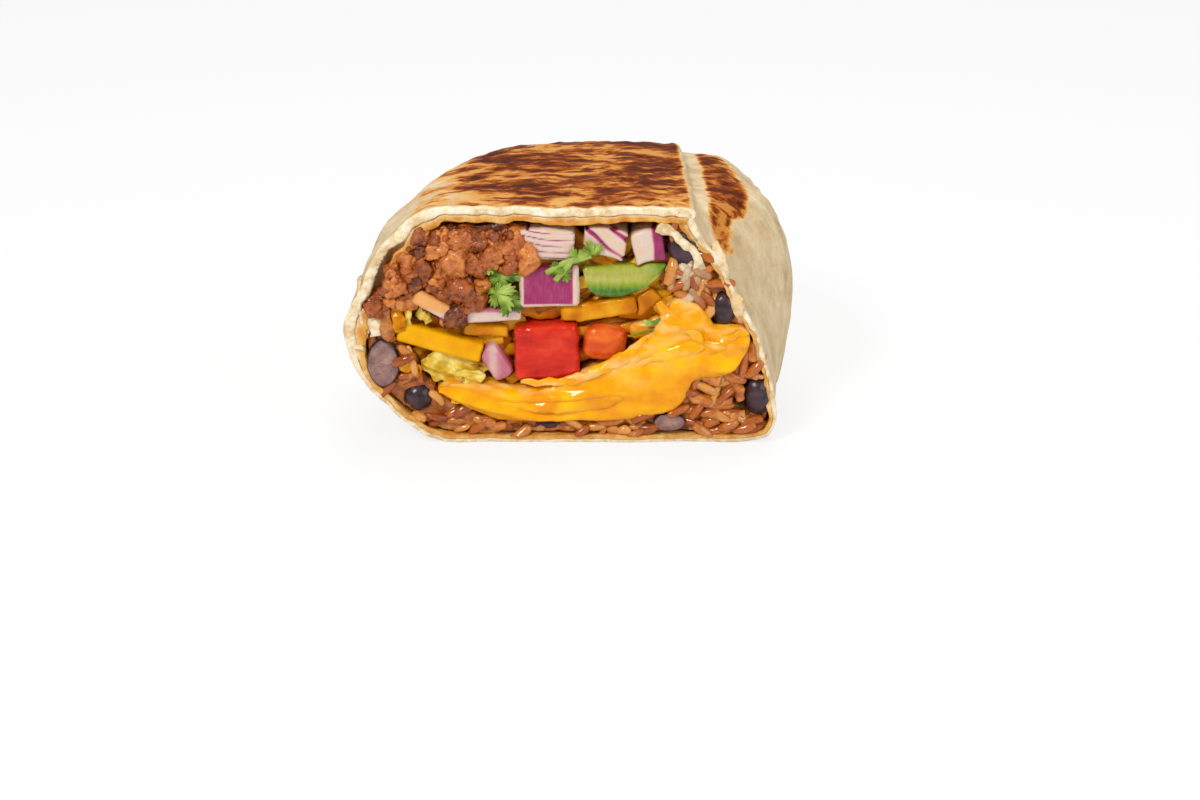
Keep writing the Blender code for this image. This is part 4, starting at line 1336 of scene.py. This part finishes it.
def leaf_shape(middle, reach, facing, roll, lobes, curl):
    """A small lobed herb leaf facing a direction: points and faces of a closed thin blade."""
    rings, around = 9, 120
    turn = np.arange(around) * 2 * math.pi / around
    fan = 0.60 + 0.40 * np.cos(turn * 0.5) ** 2
    lobed = fan * (0.42 + 0.58 * np.abs(np.cos(lobes * turn / 2)) ** 0.7)
    lobed = lobed * (1 - 0.22 * np.abs(np.sin(lobes * 2.5 * turn)) ** 3)
    shares = np.linspace(0.04, 1.0, rings)
    facing = np.asarray(facing, float) / np.linalg.norm(facing)
    up = UP - facing * facing.dot(UP)
    up /= np.linalg.norm(up)
    side = np.cross(up, facing)
    up, side = up * math.cos(roll) + side * math.sin(roll), side * math.cos(roll) - up * math.sin(roll)
    sheets = []
    for lift in (0.14, -0.14):
        for s in shares if lift > 0 else shares[::-1]:
            r = s * lobed * reach
            bowed = curl * reach * s**2 * (0.14 * np.sin(3 * turn + 1) - 0.25)
            height = lift * (1.2 - s) + bowed
            sheets.append(
                np.asarray(middle)
                + (r * np.cos(turn))[:, None] * up
                + (r * np.sin(turn))[:, None] * side
                + height[:, None] * facing
            )
    points = np.concatenate(sheets)
    faces = grid_faces(2 * rings, around)
    faces.append(tuple(reversed(range(around))))
    faces.append(tuple((2 * rings - 1) * around + k for k in range(around)))
    return points, faces


def make_herbs(looks):
    """Chopped cilantro between the meat, the onion and the pepper."""
    rng = np.random.default_rng(31)
    square, size = middle_of("onion_square")
    left = square[0] - size[0] / 2
    top = square[2] + size[2] / 2
    batch = Batch()
    sprigs = [
        ((left - 3.4, -0.6, top - 2.0), 5.4, 0.3, 5),
        ((left - 4.2, -0.9, top - 5.6), 5.0, 2.4, 5),
        ((left - 1.2, -0.2, top - 7.0), 4.4, -2.6, 5),
        ((left - 6.2, 0.2, top + 1.4), 4.2, 1.1, 4),
        ((left - 2.4, 0.4, top + 1.8), 4.2, -0.6, 5),
        ((square[0] + 1.2, -0.9, top - 0.6), 2.6, 1.7, 4),
        ((square[0] + 3.4, -0.8, top - 1.2), 2.4, 2.9, 3),
        ((square[0] + 6.0, -0.9, top + 1.9), 3.2, 0.9, 4),
        ((square[0] + 9.4, -0.4, top + 3.0), 3.2, -0.5, 4),
    ]
    for middle, reach, roll, lobes in sprigs:
        facing = -AWAY + rng.normal(0, 0.35, 3)
        points, faces = leaf_shape(middle, reach, facing, roll, lobes, 0.7)
        batch.add(points, faces, np.clip(0.55 + 0.4 * fractal(points, 2.0, 2, int(reach * 10)), 0, 1))
    corner = np.array([square[0], 0.0, top])
    stems = [
        [(-0.5, -0.8, -1.2), (4.5, -0.9, 1.3), (9.0, -0.6, 2.2)],
        [(1.5, -0.9, -2.8), (4.0, -1.1, 0.4), (6.0, -0.8, 2.8)],
    ]
    for path in stems:
        points, faces = strand(corner + path, [1.2, 1.4, 0.9], [0.9, 1.0, 0.7], -AWAY, rough=0.1)
        batch.add(points, faces, 0.75)
    belongs(batch.build("cilantro", looks["herb"]), "pepper")


def make_folds(looks):
    """Loose inner layers: crossing the upper right bean, torn down the right, folded in at the left."""
    torn = [
        (
            [(19.6, 0.2, 48.4), (24.2, -0.5, 45.6), (27.6, -0.6, 41.8), (28.4, 0.2, 38.0)],
            [3.0, 1.6, 2.0, 3.4], 0.9, 1.0,
        ),
        (
            [(31.2, 1.0, 44.6), (32.2, 0.2, 41.0), (33.4, 0.6, 37.6), (33.0, 1.6, 35.0)],
            [1.6, 2.6, 3.0, 1.2], 1.2, 0.8,
        ),
        (
            [(34.6, 1.2, 34.4), (36.2, 0.0, 31.4), (37.0, 0.6, 28.4), (38.4, 1.4, 25.8)],
            [1.4, 3.2, 2.2, 1.4], 1.2, 0.6,
        ),
    ]
    batch = Batch()
    for index, (path, widths, thickness, lightness) in enumerate(torn):
        shape = strand(path, widths, [thickness], -AWAY, count=50, sides=16, rough=0.5, seed=index)
        batch.add(*shape, lightness)
    fold = [
        [(-42.8, 3.4, 35.6), (-42.4, 3.0, 30.0), (-41.6, 3.2, 24.4), (-40.6, 3.4, 27.0), (-40.2, 3.8, 31.4)],
        [(-43.8, 4.0, 31.0), (-43.2, 3.6, 27.6), (-42.6, 3.8, 24.6)],
    ]
    for index, path in enumerate(fold):
        shape = strand(
            path, [6.4], [0.9, 1.3, 1.0], RIGHT, count=50, sides=20, boxy=0.7, rough=0.35, seed=9 + index
        )
        batch.add(*shape, 0.7)
    obj = batch.build("loose_inner_layers", looks["tortilla"])
    count = len(obj.data.vertices)
    paint(obj, "rim", np.ones(count))
    paint(obj, "inner", 1 - np.concatenate(batch.tints))
    paint(obj, "toast", np.zeros(count))
    belongs(obj, "tortilla")


# ---------------------------------------------------------------- stage


FLOOR_WHITENESS = 0.8    # how far the floor looks plain white, with the object's shadow still on it


def make_floor():
    bpy.ops.mesh.primitive_plane_add(size=6.0, location=(0, 0, CAD_BOX[0][2]))
    floor = bpy.context.object
    floor.name = "floor"
    look = Look("floor", roughness=0.8, specular=0.1)
    look.colour((0.82, 0.82, 0.82))
    tree = look.tree
    path = tree.nodes.new("ShaderNodeLightPath")
    white, blend = tree.nodes.new("ShaderNodeEmission"), tree.nodes.new("ShaderNodeMixShader")
    seen = look.math("MULTIPLY", path.outputs["Is Camera Ray"], FLOOR_WHITENESS)
    tree.links.new(seen, blend.inputs["Fac"])
    tree.links.new(look.shader.outputs["BSDF"], blend.inputs[1])
    tree.links.new(white.outputs["Emission"], blend.inputs[2])
    tree.links.new(blend.outputs["Shader"], tree.nodes["Material Output"].inputs["Surface"])
    floor.data.materials.append(look.material)


def add_light(name, place_at, target, size, power):
    light = bpy.data.lights.new(name, "AREA")
    light.size = size
    light.energy = power
    obj = bpy.data.objects.new(name, light)
    obj.location = place_at
    obj.rotation_euler = (Vector(target) - Vector(place_at)).to_track_quat("-Z", "Y").to_euler()
    bpy.context.scene.collection.objects.link(obj)


def make_light():
    world = bpy.data.worlds.new("studio")
    bpy.context.scene.world = world
    world.use_nodes = True
    tree = world.node_tree
    tree.nodes.clear()
    path = tree.nodes.new("ShaderNodeLightPath")
    soft, white = tree.nodes.new("ShaderNodeBackground"), tree.nodes.new("ShaderNodeBackground")
    soft.inputs["Strength"].default_value = 0.42
    soft.inputs["Color"].default_value = (1, 1, 1, 1)
    white.inputs["Color"].default_value = (1, 1, 1, 1)
    mix, out = tree.nodes.new("ShaderNodeMixShader"), tree.nodes.new("ShaderNodeOutputWorld")
    tree.links.new(path.outputs["Is Camera Ray"], mix.inputs["Fac"])
    tree.links.new(soft.outputs["Background"], mix.inputs[1])
    tree.links.new(white.outputs["Background"], mix.inputs[2])
    tree.links.new(mix.outputs["Shader"], out.inputs["Surface"])
    target = (0, -0.03, 0.025)
    add_light("key", (-0.35, -0.55, 0.60), target, 0.20, 4.2)
    add_light("fill", (0.60, -0.50, 0.35), target, 0.50, 1.8)
    add_light("top", (0.05, 0.15, 0.70), target, 0.45, 2.4)


CAMERA_DISTANCE, CAMERA_HEIGHT_DEG = 500.0, 22.0
AIM = (6.6, 0.0, 6.88)     # the point on the cut that the camera looks at
LENS = 70.5


def make_camera():
    camera = bpy.data.cameras.new("camera")
    camera.lens = LENS
    camera.sensor_width = 36.0
    camera.shift_x, camera.shift_y = 0.004, 0.010
    camera.clip_start = 0.01
    obj = bpy.data.objects.new("camera", camera)
    angle = math.radians(CAMERA_HEIGHT_DEG)
    away = np.array([0.0, -math.cos(angle), math.sin(angle)]) * CAMERA_DISTANCE
    obj.location = place(np.array(AIM) + away)
    obj.rotation_euler = (math.radians(90 - CAMERA_HEIGHT_DEG), 0, 0)
    bpy.context.scene.collection.objects.link(obj)
    bpy.context.scene.camera = obj


def main():
    bpy.context.scene.view_settings.view_transform = "Standard"
    looks = make_looks()
    make_tortilla(looks["tortilla"])
    make_rice(looks)
    make_meat(looks)
    make_cheese(looks)
    make_dice(looks)
    make_onions(looks)
    make_pepper(looks)
    make_beans(looks)
    make_lettuce(looks)
    make_filling(looks)
    make_morsels(looks)
    make_herbs(looks)
    make_folds(looks)
    make_floor()
    make_light()
    make_camera()


main()
